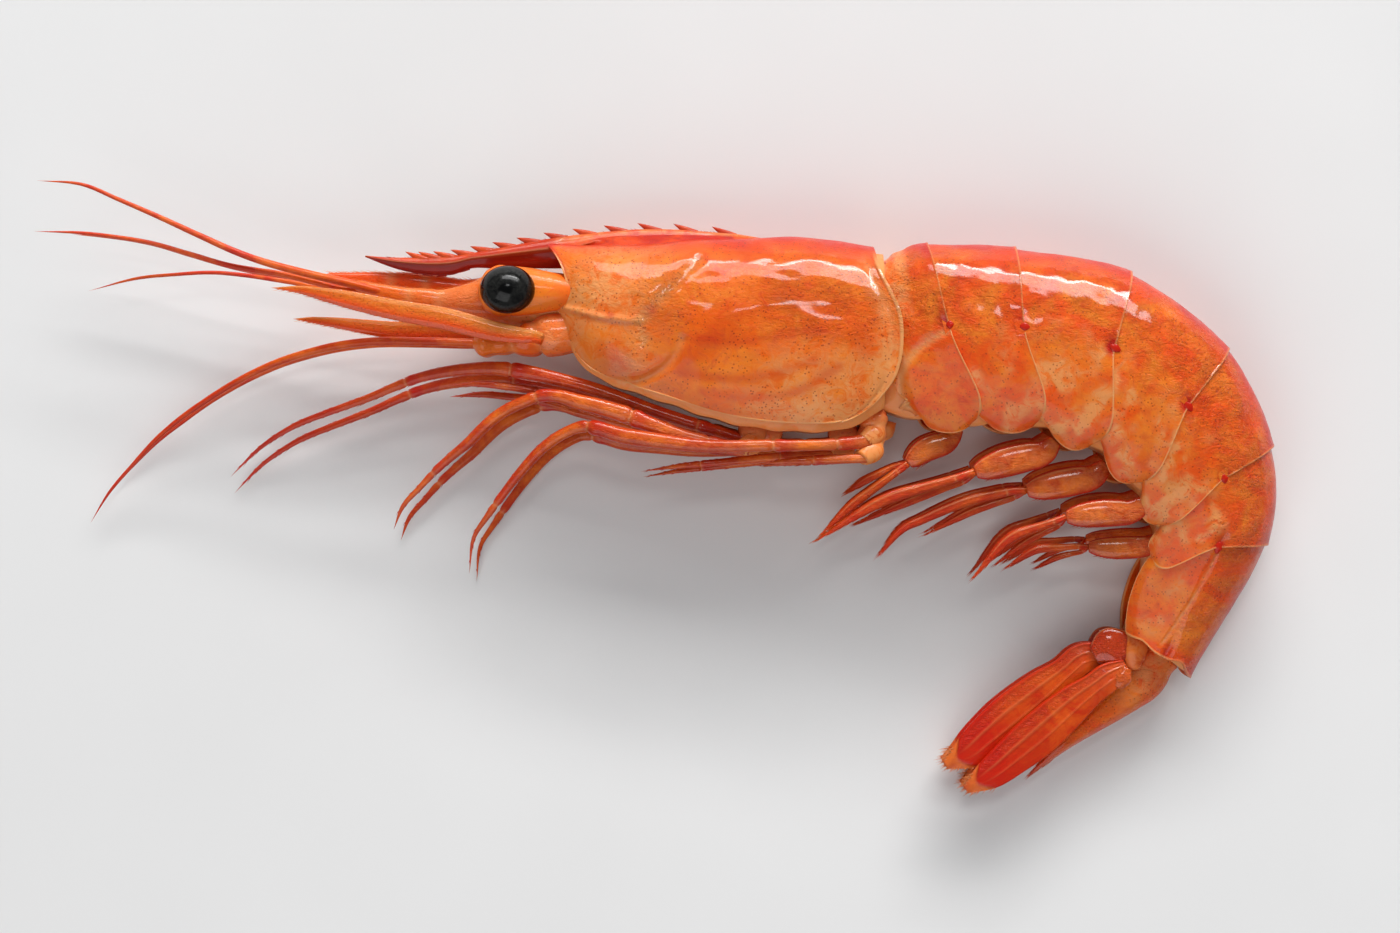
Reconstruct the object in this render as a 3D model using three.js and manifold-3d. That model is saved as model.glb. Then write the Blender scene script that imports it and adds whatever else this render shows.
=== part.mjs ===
// A whole raw shrimp in its shell, with its head on, lying on its right side.
// +X runs from the head to the bend of the tail, +Y from the legs to the back, and +Z is up.
// The animal is drawn around the middle of its outline, and moved at the end so that the
// origin is the bottom centre of the box around it. All sizes are in millimetres.
import * as THREE from "three";
import { mergeVertices } from "three/addons/utils/BufferGeometryUtils.js";
import Module from "manifold-3d";

// ---- Driving dimensions ----
const BODY_HALF_WIDTH = 7.3; // half the width of the head shell at its widest
const PRESSED_FLAT = 0.35; // how much of the soft underside is flattened where it lies
const MID = BODY_HALF_WIDTH - PRESSED_FLAT; // height of the middle plane of the head
const GAP = 0.32; // clearance between two plates
const EYE_RADIUS = 2.7;
const TOOTH_COUNT = 13; // teeth along the crest and the beak
const TOOTH_HEIGHT = 0.55;
const TOOTH_FRONT = 0.35; // length of the steep front of a tooth
const FLARE = 0.4; // how far a plate's rear edge stands out over the next plate
const BACK_FULLNESS = 0.75; // how square a ring is above its middle: 1 is an ellipse
const BELLY_FULLNESS = 0.5; // and below it
const FOOT_ANGLE = THREE.MathUtils.degToRad(7); // half the width of a crest's foot, as an angle
const RIGHT_SWAY = THREE.MathUtils.degToRad(1.5); // the right limbs lie a little lower

// ---- Fineness ----
const PLATE_SIDES = 20;
const SHELL_STEPS = 8; // steps from back to belly on each side of the head shell
const LIMB_SIDES = 6;
const PLATE_RINGS = 5;

// ---- Colours ----
const COLOURS = {
  shell: [0xe8741c, 0.36],
  plate: [0xe65a1e, 0.36],
  flesh: [0xf0a45c, 0.5],
  limb: [0xdf4a18, 0.38],
  whip: [0xc8280f, 0.42],
  eye: [0x23262b, 0.12],
};

// ---- Curves ----

// Blends a list of equally spaced stations, each a list of numbers, smoothly at t.
function blend(stations, t) {
  const last = stations.length - 1;
  const i = Math.min(Math.floor(t), last - 1);
  const f = t - i;
  const a = stations[Math.max(i - 1, 0)];
  const b = stations[i];
  const c = stations[i + 1];
  const d = stations[Math.min(i + 2, last)];
  return b.map((start, k) => {
    const slope = (c[k] - a[k]) * f;
    const bend = (2 * a[k] - 5 * start + 4 * c[k] - d[k]) * f ** 2;
    const twist = (3 * start - a[k] - 3 * c[k] + d[k]) * f ** 3;
    return start + 0.5 * (slope + bend + twist);
  });
}

// The height at x of a smooth line through points that run along X.
function lineAt(points, x) {
  const last = points.length - 1;
  const found = points.findIndex((p) => p[0] >= x);
  const i = THREE.MathUtils.clamp(found === -1 ? last : found, 1, last) - 1;
  const slope = (k) => {
    const before = points[Math.max(k - 1, 0)];
    const after = points[Math.min(k + 1, last)];
    return (after[1] - before[1]) / (after[0] - before[0]);
  };
  const [x0, y0] = points[i];
  const [x1, y1] = points[i + 1];
  const run = x1 - x0;
  const f = THREE.MathUtils.clamp((x - x0) / run, 0, 1);
  const eased = f * f * (3 - 2 * f);
  const lean = f * (1 - f) * run * (slope(i) * (1 - f) - slope(i + 1) * f);
  return y0 + (y1 - y0) * eased + lean;
}

// ---- Solids ----

function volumeOf(points, faces) {
  const corner = faces.map(([a, b, c]) => points[a].dot(points[b].clone().cross(points[c])));
  return corner.reduce((sum, v) => sum + v, 0) / 6;
}

function geometryOf(points, faces) {
  const out = volumeOf(points, faces) < 0 ? faces.map(([a, b, c]) => [a, c, b]) : faces;
  const geometry = new THREE.BufferGeometry();
  const numbers = points.flatMap((p) => p.toArray());
  geometry.setAttribute("position", new THREE.Float32BufferAttribute(numbers, 3));
  geometry.setIndex(out.flat());
  return geometry;
}

function middleOf(ring) {
  const sum = ring.reduce((total, p) => total.add(p), new THREE.Vector3());
  return sum.divideScalar(ring.length);
}

// Skins a row of rings. Each end closes on one point: the ring's own middle, or a given tip.
function skin(rings, tip = middleOf(rings.at(-1))) {
  const n = rings[0].length;
  const points = [middleOf(rings[0]), ...rings.flat(), tip];
  const faces = [];
  for (let k = 0; k < n; k++) {
    const next = (k + 1) % n;
    faces.push([0, 1 + next, 1 + k]);
    for (let r = 1; r < rings.length; r++) {
      const low = 1 + (r - 1) * n;
      const high = 1 + r * n;
      faces.push([low + k, low + next, high + next], [low + k, high + next, high + k]);
    }
    const top = 1 + (rings.length - 1) * n;
    faces.push([top + k, top + next, points.length - 1]);
  }
  return geometryOf(points, faces);
}

// One ring across the body, from the point on its back to the point on its belly. Its back is
// round and its belly is full; where it meets the floor it is pressed flat.
function bodyRing({ back, belly, half, height, angles, crest = 0, crestHalf = half }) {
  const middle = back.clone().add(belly).divideScalar(2);
  const reach = back.clone().sub(belly).divideScalar(2);
  const upward = reach.clone().normalize();
  return angles.map((angle) => {
    const fullness = Math.cos(angle) > 0 ? BACK_FULLNESS : BELLY_FULLNESS;
    const across = Math.sign(Math.sin(angle)) * Math.abs(Math.sin(angle)) ** fullness * half;
    const onFoot = Math.abs(angle) < FOOT_ANGLE * 1.01;
    const side = onFoot ? THREE.MathUtils.clamp(across, -crestHalf, crestHalf) : across;
    const flat = middle.clone().addScaledVector(reach, Math.cos(angle));
    if (angle === 0) flat.addScaledVector(upward, crest);
    return new THREE.Vector3(flat.x, flat.y, Math.max(height + side, 0));
  });
}

// A limb from its root to its pointed tip. The route holds [x, y, side, half width]; side is
// measured from the middle plane towards the side that the limb is on. A limb sags towards
// the floor by drop at its tip, and is flat times as thick as it is wide, or evenly thick.
function limb({
  route, tip, hand = 1, mid = MID, drop = 0, flat = 0.7, thick = 0, steps = 2, loose = false,
}) {
  const spans = (route.length - 1) * steps;
  const place = ([x, y, side], s) => {
    const low = mid + hand * side - drop * s * s;
    const point = new THREE.Vector3(x, y, low);
    return loose && hand < 0 ? sway(point) : point;
  };
  const centres = [];
  const widths = [];
  for (let i = 0; i <= spans; i++) {
    const station = blend(route, i / steps);
    centres.push(place(station, i / (spans + 1)));
    widths.push(station[3]);
  }
  const end = place(tip, 1);
  const rings = centres.map((centre, i) => {
    const before = centres[Math.max(i - 1, 0)];
    const after = centres[i + 1] ?? end;
    const along = after.clone().sub(before).normalize();
    const across = new THREE.Vector3(-along.y, along.x, 0).normalize();
    const up = along.clone().cross(across).normalize();
    const half = thick || widths[i] * flat;
    return Array.from({ length: LIMB_SIDES }, (_, k) => {
      const angle = (2 * Math.PI * k) / LIMB_SIDES;
      return centre
        .clone()
        .addScaledVector(across, Math.cos(angle) * widths[i])
        .addScaledVector(up, Math.sin(angle) * half);
    });
  });
  return skin(rings, end);
}

// Turns a point of a right limb a little downwards around the middle of the animal.
function sway(point) {
  const pivot = new THREE.Vector3(20, 5, 0);
  return point.sub(pivot).applyAxisAngle(new THREE.Vector3(0, 0, 1), RIGHT_SWAY).add(pivot);
}

const wasm = await Module();
wasm.setup();

function solidOf(geometry) {
  const merged = mergeVertices(geometry, 1e-4);
  const vertProperties = new Float32Array(merged.attributes.position.array);
  const triVerts = new Uint32Array(merged.index.array);
  return new wasm.Manifold(new wasm.Mesh({ numProp: 3, vertProperties, triVerts }));
}

function joined(geometries) {
  const solids = geometries.map(solidOf);
  const mesh = solids.reduce((sum, solid) => sum.add(solid)).getMesh();
  const geometry = new THREE.BufferGeometry();
  geometry.setAttribute("position", new THREE.Float32BufferAttribute(mesh.vertProperties, 3));
  geometry.setIndex(Array.from(mesh.triVerts));
  return geometry;
}

// ---- The group ----

const drawn = new THREE.Group();

function add(name, geometry, look) {
  const [color, roughness] = COLOURS[look];
  const material = new THREE.MeshStandardMaterial({ color, roughness, metalness: 0 });
  const mesh = new THREE.Mesh(geometry, material);
  mesh.name = name;
  drawn.add(mesh);
}

// Adds the left and the right copy of a limb. The left one is held up and sags further.
function addPair(name, look, shape, make = limb) {
  const { drops = [0, 0] } = shape;
  add(name.replace("SIDE", "left"), make({ ...shape, hand: 1, drop: drops[0] }), look);
  add(name.replace("SIDE", "right"), make({ ...shape, hand: -1, drop: drops[1] }), look);
}

// ---- Head shell, with its crest and beak ----

const SHELL_FRONT = -9.4;
const SHELL_BACK = 24;
const BEAK_TIP = -28.9;
const CREST_END = 12.5;

const SHELL_TOP = [[SHELL_FRONT, 24.2], [-6, 24], [6, 24.6], [15, 24.75], [SHELL_BACK, 23.65]];
const SHELL_BELLY = [[SHELL_FRONT, 17.4], [-8.2, 13.6], [-6, 10.9], [1, 8.2], [8, 5.95],
  [15, 5.2], [20, 5.8], [SHELL_BACK, 8.5]];
const SHELL_HALF = [[SHELL_FRONT, 3.4], [-6, 5.5], [1, 6.6], [15, BODY_HALF_WIDTH], [SHELL_BACK, 6.9]];
const CREST_LINE = [[BEAK_TIP, 23.1], [-25.6, 22.95], [-20.6, 23.05], [-15.6, 23.9], [-9.1, 25.05],
  [-0.6, 25.8], [6.3, 25.45], [CREST_END, 24.95]];
const BEAK_KEEL = [[BEAK_TIP, 23], [-25.6, 21.75], [-21.6, 21.15], [-17.6, 21.55], [-11.1, 22.45],
  [-9.7, 22.1]];
const BEAK_HALF = [[BEAK_TIP, 0.2], [-20, 0.5], [-9.7, 0.85]];
const CREST_HALF = 0.5;

// The teeth stand closer together towards the tip of the beak.
const toothAt = (k) => -24.35 + 1.15 * k + 0.117 * k * k;

function shellAngles() {
  const turn = Array.from({ length: SHELL_STEPS - 1 }, (_, j) => (Math.PI * (j + 1)) / SHELL_STEPS);
  const left = [FOOT_ANGLE, ...turn];
  return [0, ...left, Math.PI, ...left.map((angle) => -angle).reverse()];
}

// Every ring's place along the shell, with the height of the tooth that peaks there.
function shellStops() {
  const stops = [-27.2, -25.6, 9.2, CREST_END, 15.5, 19, 22, SHELL_BACK].map((x) => [x, 0]);
  for (let k = 0; k < TOOTH_COUNT; k++) {
    stops.push([toothAt(k) - TOOTH_FRONT, 0], [toothAt(k), TOOTH_HEIGHT]);
  }
  stops.push([SHELL_FRONT - GAP, 0], [SHELL_FRONT, 0], [-8.2, 0]);
  return stops.sort((a, b) => a[0] - b[0]);
}

function shellRing([x, tooth], angles) {
  const crestTop = lineAt(CREST_LINE, x) + tooth;
  if (x < SHELL_FRONT) {
    const base = crestTop - tooth;
    const half = lineAt(BEAK_HALF, x);
    const back = new THREE.Vector2(x, base);
    const belly = new THREE.Vector2(x, lineAt(BEAK_KEEL, x));
    return bodyRing({ back, belly, half, height: MID, angles, crest: tooth });
  }
  const top = lineAt(SHELL_TOP, x);
  const crest = x > CREST_END ? 0 : crestTop - top;
  const slant = Math.max(x - 17, 0) / 7; // the rear edge runs a little back towards the belly
  return bodyRing({
    back: new THREE.Vector2(x, top),
    belly: new THREE.Vector2(x + slant, lineAt(SHELL_BELLY, x)),
    half: lineAt(SHELL_HALF, x),
    height: MID,
    angles,
    crest,
    crestHalf: CREST_HALF,
  });
}

function carapace() {
  const angles = shellAngles();
  const rings = shellStops().map((stop) => shellRing(stop, angles));
  const point = new THREE.Vector3(BEAK_TIP, lineAt(CREST_LINE, BEAK_TIP), MID);
  return skin(rings.reverse(), point);
}

add("carapace", carapace(), "shell");

// ---- Face: head, eyes, feelers and scales ----

const FACE_X = -9.9; // where the pieces of the face start, just in front of the shell

add("head", limb({
  route: [[FACE_X, 18.9, 0, 1.8], [-12.5, 18.9, 0, 1.8], [-15, 18.85, 0, 1.5]],
  tip: [-16.6, 18.85, 0],
  thick: 1.2,
}), "flesh");

const EYE = { x: -14.45, y: 19.55, side: 4.3 };

function eye({ hand }) {
  const ball = new THREE.SphereGeometry(EYE_RADIUS, 14, 9);
  ball.deleteAttribute("normal");
  ball.deleteAttribute("uv");
  return mergeVertices(ball, 1e-4).translate(EYE.x, EYE.y, MID + hand * EYE.side);
}

addPair("eye_SIDE", "eye", {}, eye);
addPair("eyestalk_SIDE", "flesh", {
  route: [[-10.1, 19.4, 2.5, 0.9], [-10.9, 19.4, 2.85, 1.2]],
  tip: [-11.5, 19.45, 3.05],
  flat: 1,
});

add("antennule_left", limb({
  route: [[-17, 18.9, 1.2, 1.3], [-18.7, 18.95, 1.25, 1.25], [-23.6, 18.9, 1.3, 0.9],
    [-27.1, 19.45, 1.3, 0.75],
    [-29.6, 20, 1.3, 0.6]],
  tip: [-30.6, 20.2, 1.3],
  flat: 0.6,
}), "limb");
add("antennule_right", limb({
  route: [[-17, 19.7, -1, 0.8], [-21.6, 20.25, -1, 0.9], [-25.6, 20.65, -1, 0.85], [-30, 20.85, -1, 0.65],
    [-32.6, 21, -1, 0.45]],
  tip: [-33.5, 21.05, -1],
  flat: 0.6,
}), "limb");

const WHIPS = {
  left_1: {
    route: [[-31.1, 20.45, 2.2, 0.42], [-36.1, 21.65, 2.2, 0.38], [-41.2, 23.25, 2.2, 0.34],
      [-49.4, 26.95, 2.2, 0.26],
      [-56.5, 30, 2.2, 0.18]],
    tip: [-61.4, 30.5, 2.2],
  },
  left_2: {
    route: [[-31.1, 19.75, 1.2, 0.34], [-37.3, 21.25, 1.2, 0.31], [-42.2, 22.05, 1.2, 0.28],
      [-50.4, 24.4, 1.2, 0.22],
      [-56.6, 25.3, 1.2, 0.17]],
    tip: [-61.9, 25.5, 1.2],
  },
  right_1: {
    route: [[-34.1, 20.1, -1.2, 0.26], [-38.1, 20.8, -1.2, 0.24], [-44.3, 21.5, -1.2, 0.2],
      [-51.4, 21, -1.2, 0.16]],
    tip: [-56.8, 19.65, -1.2],
  },
  right_2: {
    route: [[-34.1, 20.55, -2.3, 0.26], [-42.2, 22.05, -2.3, 0.24], [-50.4, 24.4, -2.3, 0.2],
      [-54.6, 25.1, -2.3, 0.16]],
    tip: [-58.6, 25.4, -2.3],
  },
};
Object.entries(WHIPS).forEach(([name, whip]) => {
  add(`antennule_whip_${name}`, limb({ ...whip, flat: 1 }), "whip");
});

addPair("feeler_base_SIDE", "limb", {
  route: [[FACE_X, 15.2, 2.4, 1.9], [-11.5, 15, 2.4, 1.8], [-13.6, 14.4, 2.4, 1.15],
    [-17.6, 14.3, 2.4, 0.95]],
  tip: [-18.2, 14.3, 2.4],
  thick: 1.15,
});
add("feeler_left", limb({
  route: [[-18.6, 14.35, 2.4, 0.42], [-28.3, 14.45, 2.3, 0.42], [-34.7, 13.35, 1.3, 0.38],
    [-39.8, 11.55, 0, 0.34],
    [-44.9, 8.75, -1.6, 0.3], [-50, 5.05, -3.3, 0.24], [-55.2, -0.5, -5, 0.15]],
  tip: [-57.3, -3.75, -5.7],
  flat: 1,
}), "whip");
add("feeler_right", limb({
  route: [[-18.6, 14.3, -2.4, 0.42], [-28.3, 14.4, -2.7, 0.42], [-34.7, 13.3, -3.5, 0.36],
    [-39.8, 11.5, -4.3, 0.32],
    [-44.9, 8.7, -5, 0.26], [-50, 5, -5.8, 0.2]],
  tip: [-54.6, 0.4, -6.6],
  flat: 1,
}), "whip");

add("scale_left", limb({
  route: [[-11.6, 14.85, 4.4, 0.7], [-15.6, 15.4, 4.4, 1.1], [-20.6, 16.65, 4.4, 1.25],
    [-25.6, 17.55, 4.3, 1.15],
    [-30.6, 18.65, 4.2, 0.95], [-34.6, 19.5, 4, 0.5]],
  tip: [-37.9, 19.75, 3.9],
  flat: 0.33,
}), "limb");
add("scale_right", limb({
  route: [[-13.6, 14.85, -3.9, 0.7], [-16.6, 15.35, -3.9, 1], [-21.6, 15.65, -3.9, 1.1],
    [-26.6, 15.85, -3.9, 1],
    [-31.6, 16.5, -3.7, 0.65], [-34.6, 16.85, -3.6, 0.35]],
  tip: [-36.5, 16.95, -3.5],
  flat: 0.33,
}), "limb");

// ---- Thorax and legs ----

add("thorax", limb({
  route: [[-6.4, 9.9, 0, 0.35], [1, 7.25, 0, 0.5], [11, 4.5, 0, 0.5], [17, 4.3, 0, 0.55],
    [21, 4.75, 0, 0.75],
    [23.4, 5.9, 0, 0.8]],
  tip: [24.2, 6.4, 0],
  thick: 2.1,
}), "flesh");

addPair("jawleg_SIDE", "limb", {
  route: [[9.8, 4.45, 3, 0.5], [-0.5, 7.75, 3, 0.65], [-5.6, 9.6, 3, 0.7], [-13.3, 11.55, 3, 0.72],
    [-18.4, 11.75, 3, 0.62],
    [-23.5, 10.9, 3, 0.5], [-28.4, 9, 3, 0.4], [-36, 6.2, 3, 0.3], [-39.8, 3.9, 3, 0.2]],
  tip: [-42.9, 0.95, 3],
  drops: [7, 3.4],
  loose: true,
});

const LEGS = [
  {
    route: [[11, 3.35, 1.6, 0.4], [5, 4.5, 1.6, 0.45], [-1, 6.2, 1.6, 0.5], [-7, 8.1, 1.6, 0.5],
      [-12, 9.6, 1.6, 0.45],
      [-17, 10.25, 1.6, 0.36]],
    tip: [-20.5, 10.1, 1.6],
  },
  {
    route: [[9.5, 3.7, 4.2, 0.6], [3, 5, 4.3, 0.8], [-3.1, 7.3, 4.5, 0.92], [-7.6, 8.5, 4.5, 0.82],
      [-10.9, 9.1, 4.5, 0.65],
      [-15.4, 7.2, 4.5, 0.65], [-18.5, 4.4, 4.5, 0.58], [-21.5, 1.9, 4.5, 0.42],
      [-25.1, -1.9, 4.5, 0.25]],
    tip: [-26.1, -4.3, 4.5],
    drops: [5, 1.9],
  },
  {
    route: [[21.4, 4.6, 4.2, 0.85], [17, 4.2, 5.3, 0.62], [10, 4.1, 6.1, 0.65], [4.5, 4.1, 6.1, 0.75],
      [-3.5, 5.2, 6, 0.9],
      [-7, 6, 6, 0.65], [-11, 3.9, 6, 0.6], [-15, -0.7, 6, 0.45], [-17.9, -4.8, 6, 0.24]],
    tip: [-18.5, -8.7, 6],
    drops: [6, 0.4],
  },
  {
    route: [[18.5, 3.25, 3, 0.5], [13.3, 3.05, 3, 0.5], [8.5, 2.65, 3, 0.45], [3, 2.15, 3, 0.3]],
    tip: [-1.3, 1.55, 3],
  },
  {
    route: [[21.2, 2.85, 4.6, 0.5], [17, 2.75, 4.6, 0.5], [13.5, 2.6, 4.6, 0.35]],
    tip: [10.4, 2.3, 4.6],
  },
];
LEGS.forEach((leg, i) => addPair(`leg_SIDE_${i + 1}`, "limb", { flat: 0.62, loose: true, ...leg }));

// ---- Abdomen ----

// The joint lines between the plates, from the head shell to the tail fan: a point on the
// back, a point on the belly, and half the width of the body there.
const JOINT_LINES = [
  [24.4, 23.5, 25.4, 6.8, 6.4],
  [26.9, 24.1, 31.5, 6, 6.9],
  [35.5, 23.7, 37.3, 6, 7.2],
  [47, 21.4, 43, 4.3, 7.1],
  [56.9, 14.1, 47.3, 0.6, 6.5],
  [61.6, 4.5, 49.9, -3.4, 5.7],
  [61.4, -5.2, 49.4, -6.6, 5],
  [53.8, -19, 47.5, -14.6, 3.5],
];
const LOBES = [0.75, 0.6, 1.2, 1, 1, 0.3, 0]; // how far each plate's side lobes hang below its ends

function plateRing(index, u, angles) {
  const [backX, backY, bellyX, bellyY, half] = blend(JOINT_LINES, index + u);
  const back = new THREE.Vector2(backX, backY);
  const belly = new THREE.Vector2(bellyX, bellyY);
  const outward = back.clone().sub(belly).normalize();
  const tailward = new THREE.Vector2(outward.y, -outward.x);
  const flare = index < LOBES.length - 1 ? FLARE * u * u : 0;
  const inset = GAP * (0.5 - u);
  back.addScaledVector(outward, flare).addScaledVector(tailward, inset);
  belly.addScaledVector(outward, -LOBES[index] * Math.sin(Math.PI * u)).addScaledVector(tailward, inset);
  const width = half + flare;
  return bodyRing({ back, belly, half: width, height: width - PRESSED_FLAT, angles });
}

function plate(index) {
  const angles = Array.from({ length: PLATE_SIDES }, (_, k) => (2 * Math.PI * k) / PLATE_SIDES);
  const along = Array.from({ length: PLATE_RINGS }, (_, r) => r / (PLATE_RINGS - 1));
  const rings = along.map((share) => plateRing(index, share, angles));
  return skin(rings);
}

LOBES.forEach((_, i) => add(`abdomen_${i + 1}`, plate(i), "plate"));

// ---- Swimmerets: a paddle with two blades on each side of the first five plates ----

const BLADE_LIFT = 0.32; // the two blades of a swimmeret lie one over the other
const SWIMMERETS = [
  {
    mid: 6.6,
    side: 3,
    paddle: [[28.6, 4.3, 0.5], [26.8, 3.6, 1.1], [24.9, 2, 0.9]],
    blades: [[[24.9, 2.1, 0.5], [20.3, -1.3, 0.75], [16.6, -4.7, 0]], [[24.9, 2.5, 0.4],
      [21.3, 0.8, 0.6], [19.2, -0.5, 0]]],
  },
  {
    mid: 6.95,
    side: 4.1,
    paddle: [[38.3, 3.3, 0.6], [35.3, 2.6, 1.3], [32.4, 1.7, 1]],
    blades: [[[32.3, 1.6, 0.5], [24, -0.8, 0.9], [16, -5.3, 0]], [[32.3, 1.3, 0.5], [27.3, -0.6, 0.7],
      [20, -3.7, 0]]],
  },
  {
    mid: 6.8,
    side: 3,
    paddle: [[43.2, 0.9, 0.6], [40.5, 0.4, 1.3], [37.6, -0.2, 1]],
    blades: [[[37.5, -0.1, 0.5], [31.3, -1.3, 0.8], [25, -3.95, 0.6], [22.3, -6.8, 0]],
      [[37.5, -0.4, 0.4], [32.2, -2.2, 0.6], [27, -4.7, 0]]],
  },
  {
    mid: 6.2,
    side: 4,
    paddle: [[46.9, -2.5, 0.5], [44.3, -2.6, 1.2], [41.5, -2.9, 0.9]],
    blades: [[[41.4, -2.8, 0.4], [36.1, -4.6, 0.8], [31.6, -9, 0]], [[41.4, -3.1, 0.4],
      [37.4, -5.2, 0.55], [34, -7.6, 0]]],
  },
  {
    mid: 5.3,
    side: 3,
    paddle: [[48.5, -5.95, 0.4], [46.1, -6.05, 1], [43.9, -6, 0.7]],
    blades: [[[43.8, -5.8, 0.4], [38.5, -6.15, 0.65], [35.1, -8, 0]], [[43.8, -6.1, 0.3],
      [40.6, -6.9, 0.45], [38.2, -8, 0]]],
  },
];

function swimmeret({ mid, side, paddle, blades, hand }) {
  const withSide = (rows, lift) => rows.map(([x, y, half]) => [x, y, side + lift, half]);
  const pad = withSide(paddle, 0);
  const [endX, endY] = paddle.at(-1);
  const baseTip = [endX - 0.7, endY - 0.3, side];
  const base = limb({ route: pad, tip: baseTip, hand, mid, thick: 0.6, loose: true });
  const pieces = blades.map((blade, i) => {
    const rows = withSide(blade, i ? -BLADE_LIFT : BLADE_LIFT);
    const route = rows.slice(0, -1);
    return limb({ route, tip: rows.at(-1), hand, mid, thick: 0.24, steps: 3, loose: true });
  });
  return joined([base, ...pieces]);
}

SWIMMERETS.forEach((shape, i) => addPair(`swimmeret_SIDE_${i + 1}`, "limb", shape, swimmeret));

// ---- Tail fan ----

const TAIL_MID = 3.3; // height of the middle plane of the tail, which lies lower than the head

add("telson", limb({
  route: [[50.5, -17.6, -0.1, 1.3], [48.9, -19.5, -0.1, 1.75], [46, -22.2, -0.1, 1.4],
    [42.3, -25.1, -0.1, 0.85]],
  tip: [37.6, -29.3, -0.1],
  thick: 1.4,
  mid: TAIL_MID,
}), "plate");
addPair("tail_root_SIDE", "limb", {
  route: [[47.2, -16.1, 2, 1.4], [45.6, -16.2, 2, 1.5], [44.4, -16.2, 2, 1]],
  tip: [44, -16.3, 2],
  thick: 0.85,
  mid: TAIL_MID,
});
addPair("tail_outer_SIDE", "limb", {
  route: [[42.9, -17.3, 1.6, 0.9], [39.3, -20.3, 1.6, 1.7], [35.3, -23.5, 1.6, 1.9],
    [31.8, -26.5, 1.6, 1.5]],
  tip: [29.2, -27.9, 1.6],
  thick: 0.28,
  mid: TAIL_MID,
});
addPair("tail_inner_SIDE", "limb", {
  route: [[45.5, -19.1, 2.6, 0.8], [42.3, -21.5, 2.6, 1.55], [38.3, -25, 2.6, 1.85],
    [34.2, -28.4, 2.6, 1.4]],
  tip: [31.2, -30.3, 2.6],
  thick: 0.28,
  mid: TAIL_MID,
});

// ---- The origin: the bottom centre of the box around the whole animal ----

const box = new THREE.Box3().setFromObject(drawn);
const centre = box.getCenter(new THREE.Vector3());
drawn.position.set(-centre.x, -centre.y, -box.min.z);
const shrimp = new THREE.Group();
shrimp.add(drawn);

export default shrimp;
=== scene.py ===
"""A whole raw shrimp in its shell, lying on its side: shell, limbs and fan around the frame."""
import math
import random

import bmesh
import bpy
import numpy as np
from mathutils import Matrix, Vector, noise


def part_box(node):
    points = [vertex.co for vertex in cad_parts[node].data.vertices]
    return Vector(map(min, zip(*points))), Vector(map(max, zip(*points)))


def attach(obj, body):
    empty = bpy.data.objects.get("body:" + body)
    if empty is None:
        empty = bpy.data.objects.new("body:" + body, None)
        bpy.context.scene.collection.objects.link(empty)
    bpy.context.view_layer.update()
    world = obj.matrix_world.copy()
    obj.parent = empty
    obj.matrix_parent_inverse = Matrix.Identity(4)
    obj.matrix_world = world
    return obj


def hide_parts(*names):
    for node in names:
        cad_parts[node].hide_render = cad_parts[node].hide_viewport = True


bl_info = {
    "name": "Raw Shrimp",
    "version": (1, 0, 0),
    "blender": (4, 5, 0),
    "location": "3D View > Sidebar > Shrimp",
    "description": "Makes a whole raw shrimp around its packed frame",
    "category": "Add Mesh",
}

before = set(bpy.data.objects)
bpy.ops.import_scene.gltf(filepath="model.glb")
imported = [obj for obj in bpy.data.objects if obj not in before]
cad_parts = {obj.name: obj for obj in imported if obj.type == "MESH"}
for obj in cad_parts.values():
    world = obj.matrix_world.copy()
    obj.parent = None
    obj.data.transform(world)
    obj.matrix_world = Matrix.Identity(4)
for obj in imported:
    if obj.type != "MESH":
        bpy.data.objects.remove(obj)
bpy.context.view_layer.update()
MM = 0.001
HANDS = {"left": 1, "right": -1}  # which way along Z each side of the shrimp lies
LIMB_SIDES = 6  # how many sides the frame gives a limb
PLATE_SIDES = 20  # and a tail plate
SHELL_SIDES = 18  # and the head shell
MARKS = ("red", "pale", "milk", "wet")  # what each point of a surface says about its colour
FLOOR_CLEARANCE = 0.02 * MM  # how high a piece's outside keeps off the floor
INNER_CLEARANCE = 0.3 * MM  # and the inside of the shell
FLESH_CLEARANCE = 0.35 * MM  # and the flesh
THIRDS = [0, 2 * math.pi / 3, 4 * math.pi / 3]  # the corners of a bristle, as angles


def placed(name, data):
    """A new object in the scene with that data."""
    made = bpy.data.objects.new(name, data)
    bpy.context.scene.collection.objects.link(made)
    return made


def mm(*values):
    """Some millimetres as an array of metres."""
    return np.array(values) * MM


# ---- Reading the frame ----

def linked_points(node):
    """A CAD node's corner points, each place once, and the points that each one is joined to."""
    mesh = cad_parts[node].data
    grain = MM / 1000
    places, numbers = {}, []
    for vertex in mesh.vertices:
        key = tuple(round(c / grain) for c in vertex.co)
        numbers.append(places.setdefault(key, len(places)))
    points = np.array(list(places), float) * grain
    links = [set() for _ in places]
    for edge in mesh.edges:
        a, b = (numbers[i] for i in edge.vertices)
        if a != b:
            links[a].add(b)
            links[b].add(a)
    return points, links


def chains(node, sides):
    """Every row of rings in a CAD skin that starts at a point with that many sides around it."""
    points, links = linked_points(node)
    found = []
    for start, ring in enumerate(links):
        seen, rows = {start}, []
        while len(ring) == sides:
            rows.append(points[sorted(ring)])
            seen |= ring
            ring = set().union(*(links[i] for i in ring)) - seen
        if len(rows) > 1:
            found.append((points[start], rows))
    return found


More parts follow.
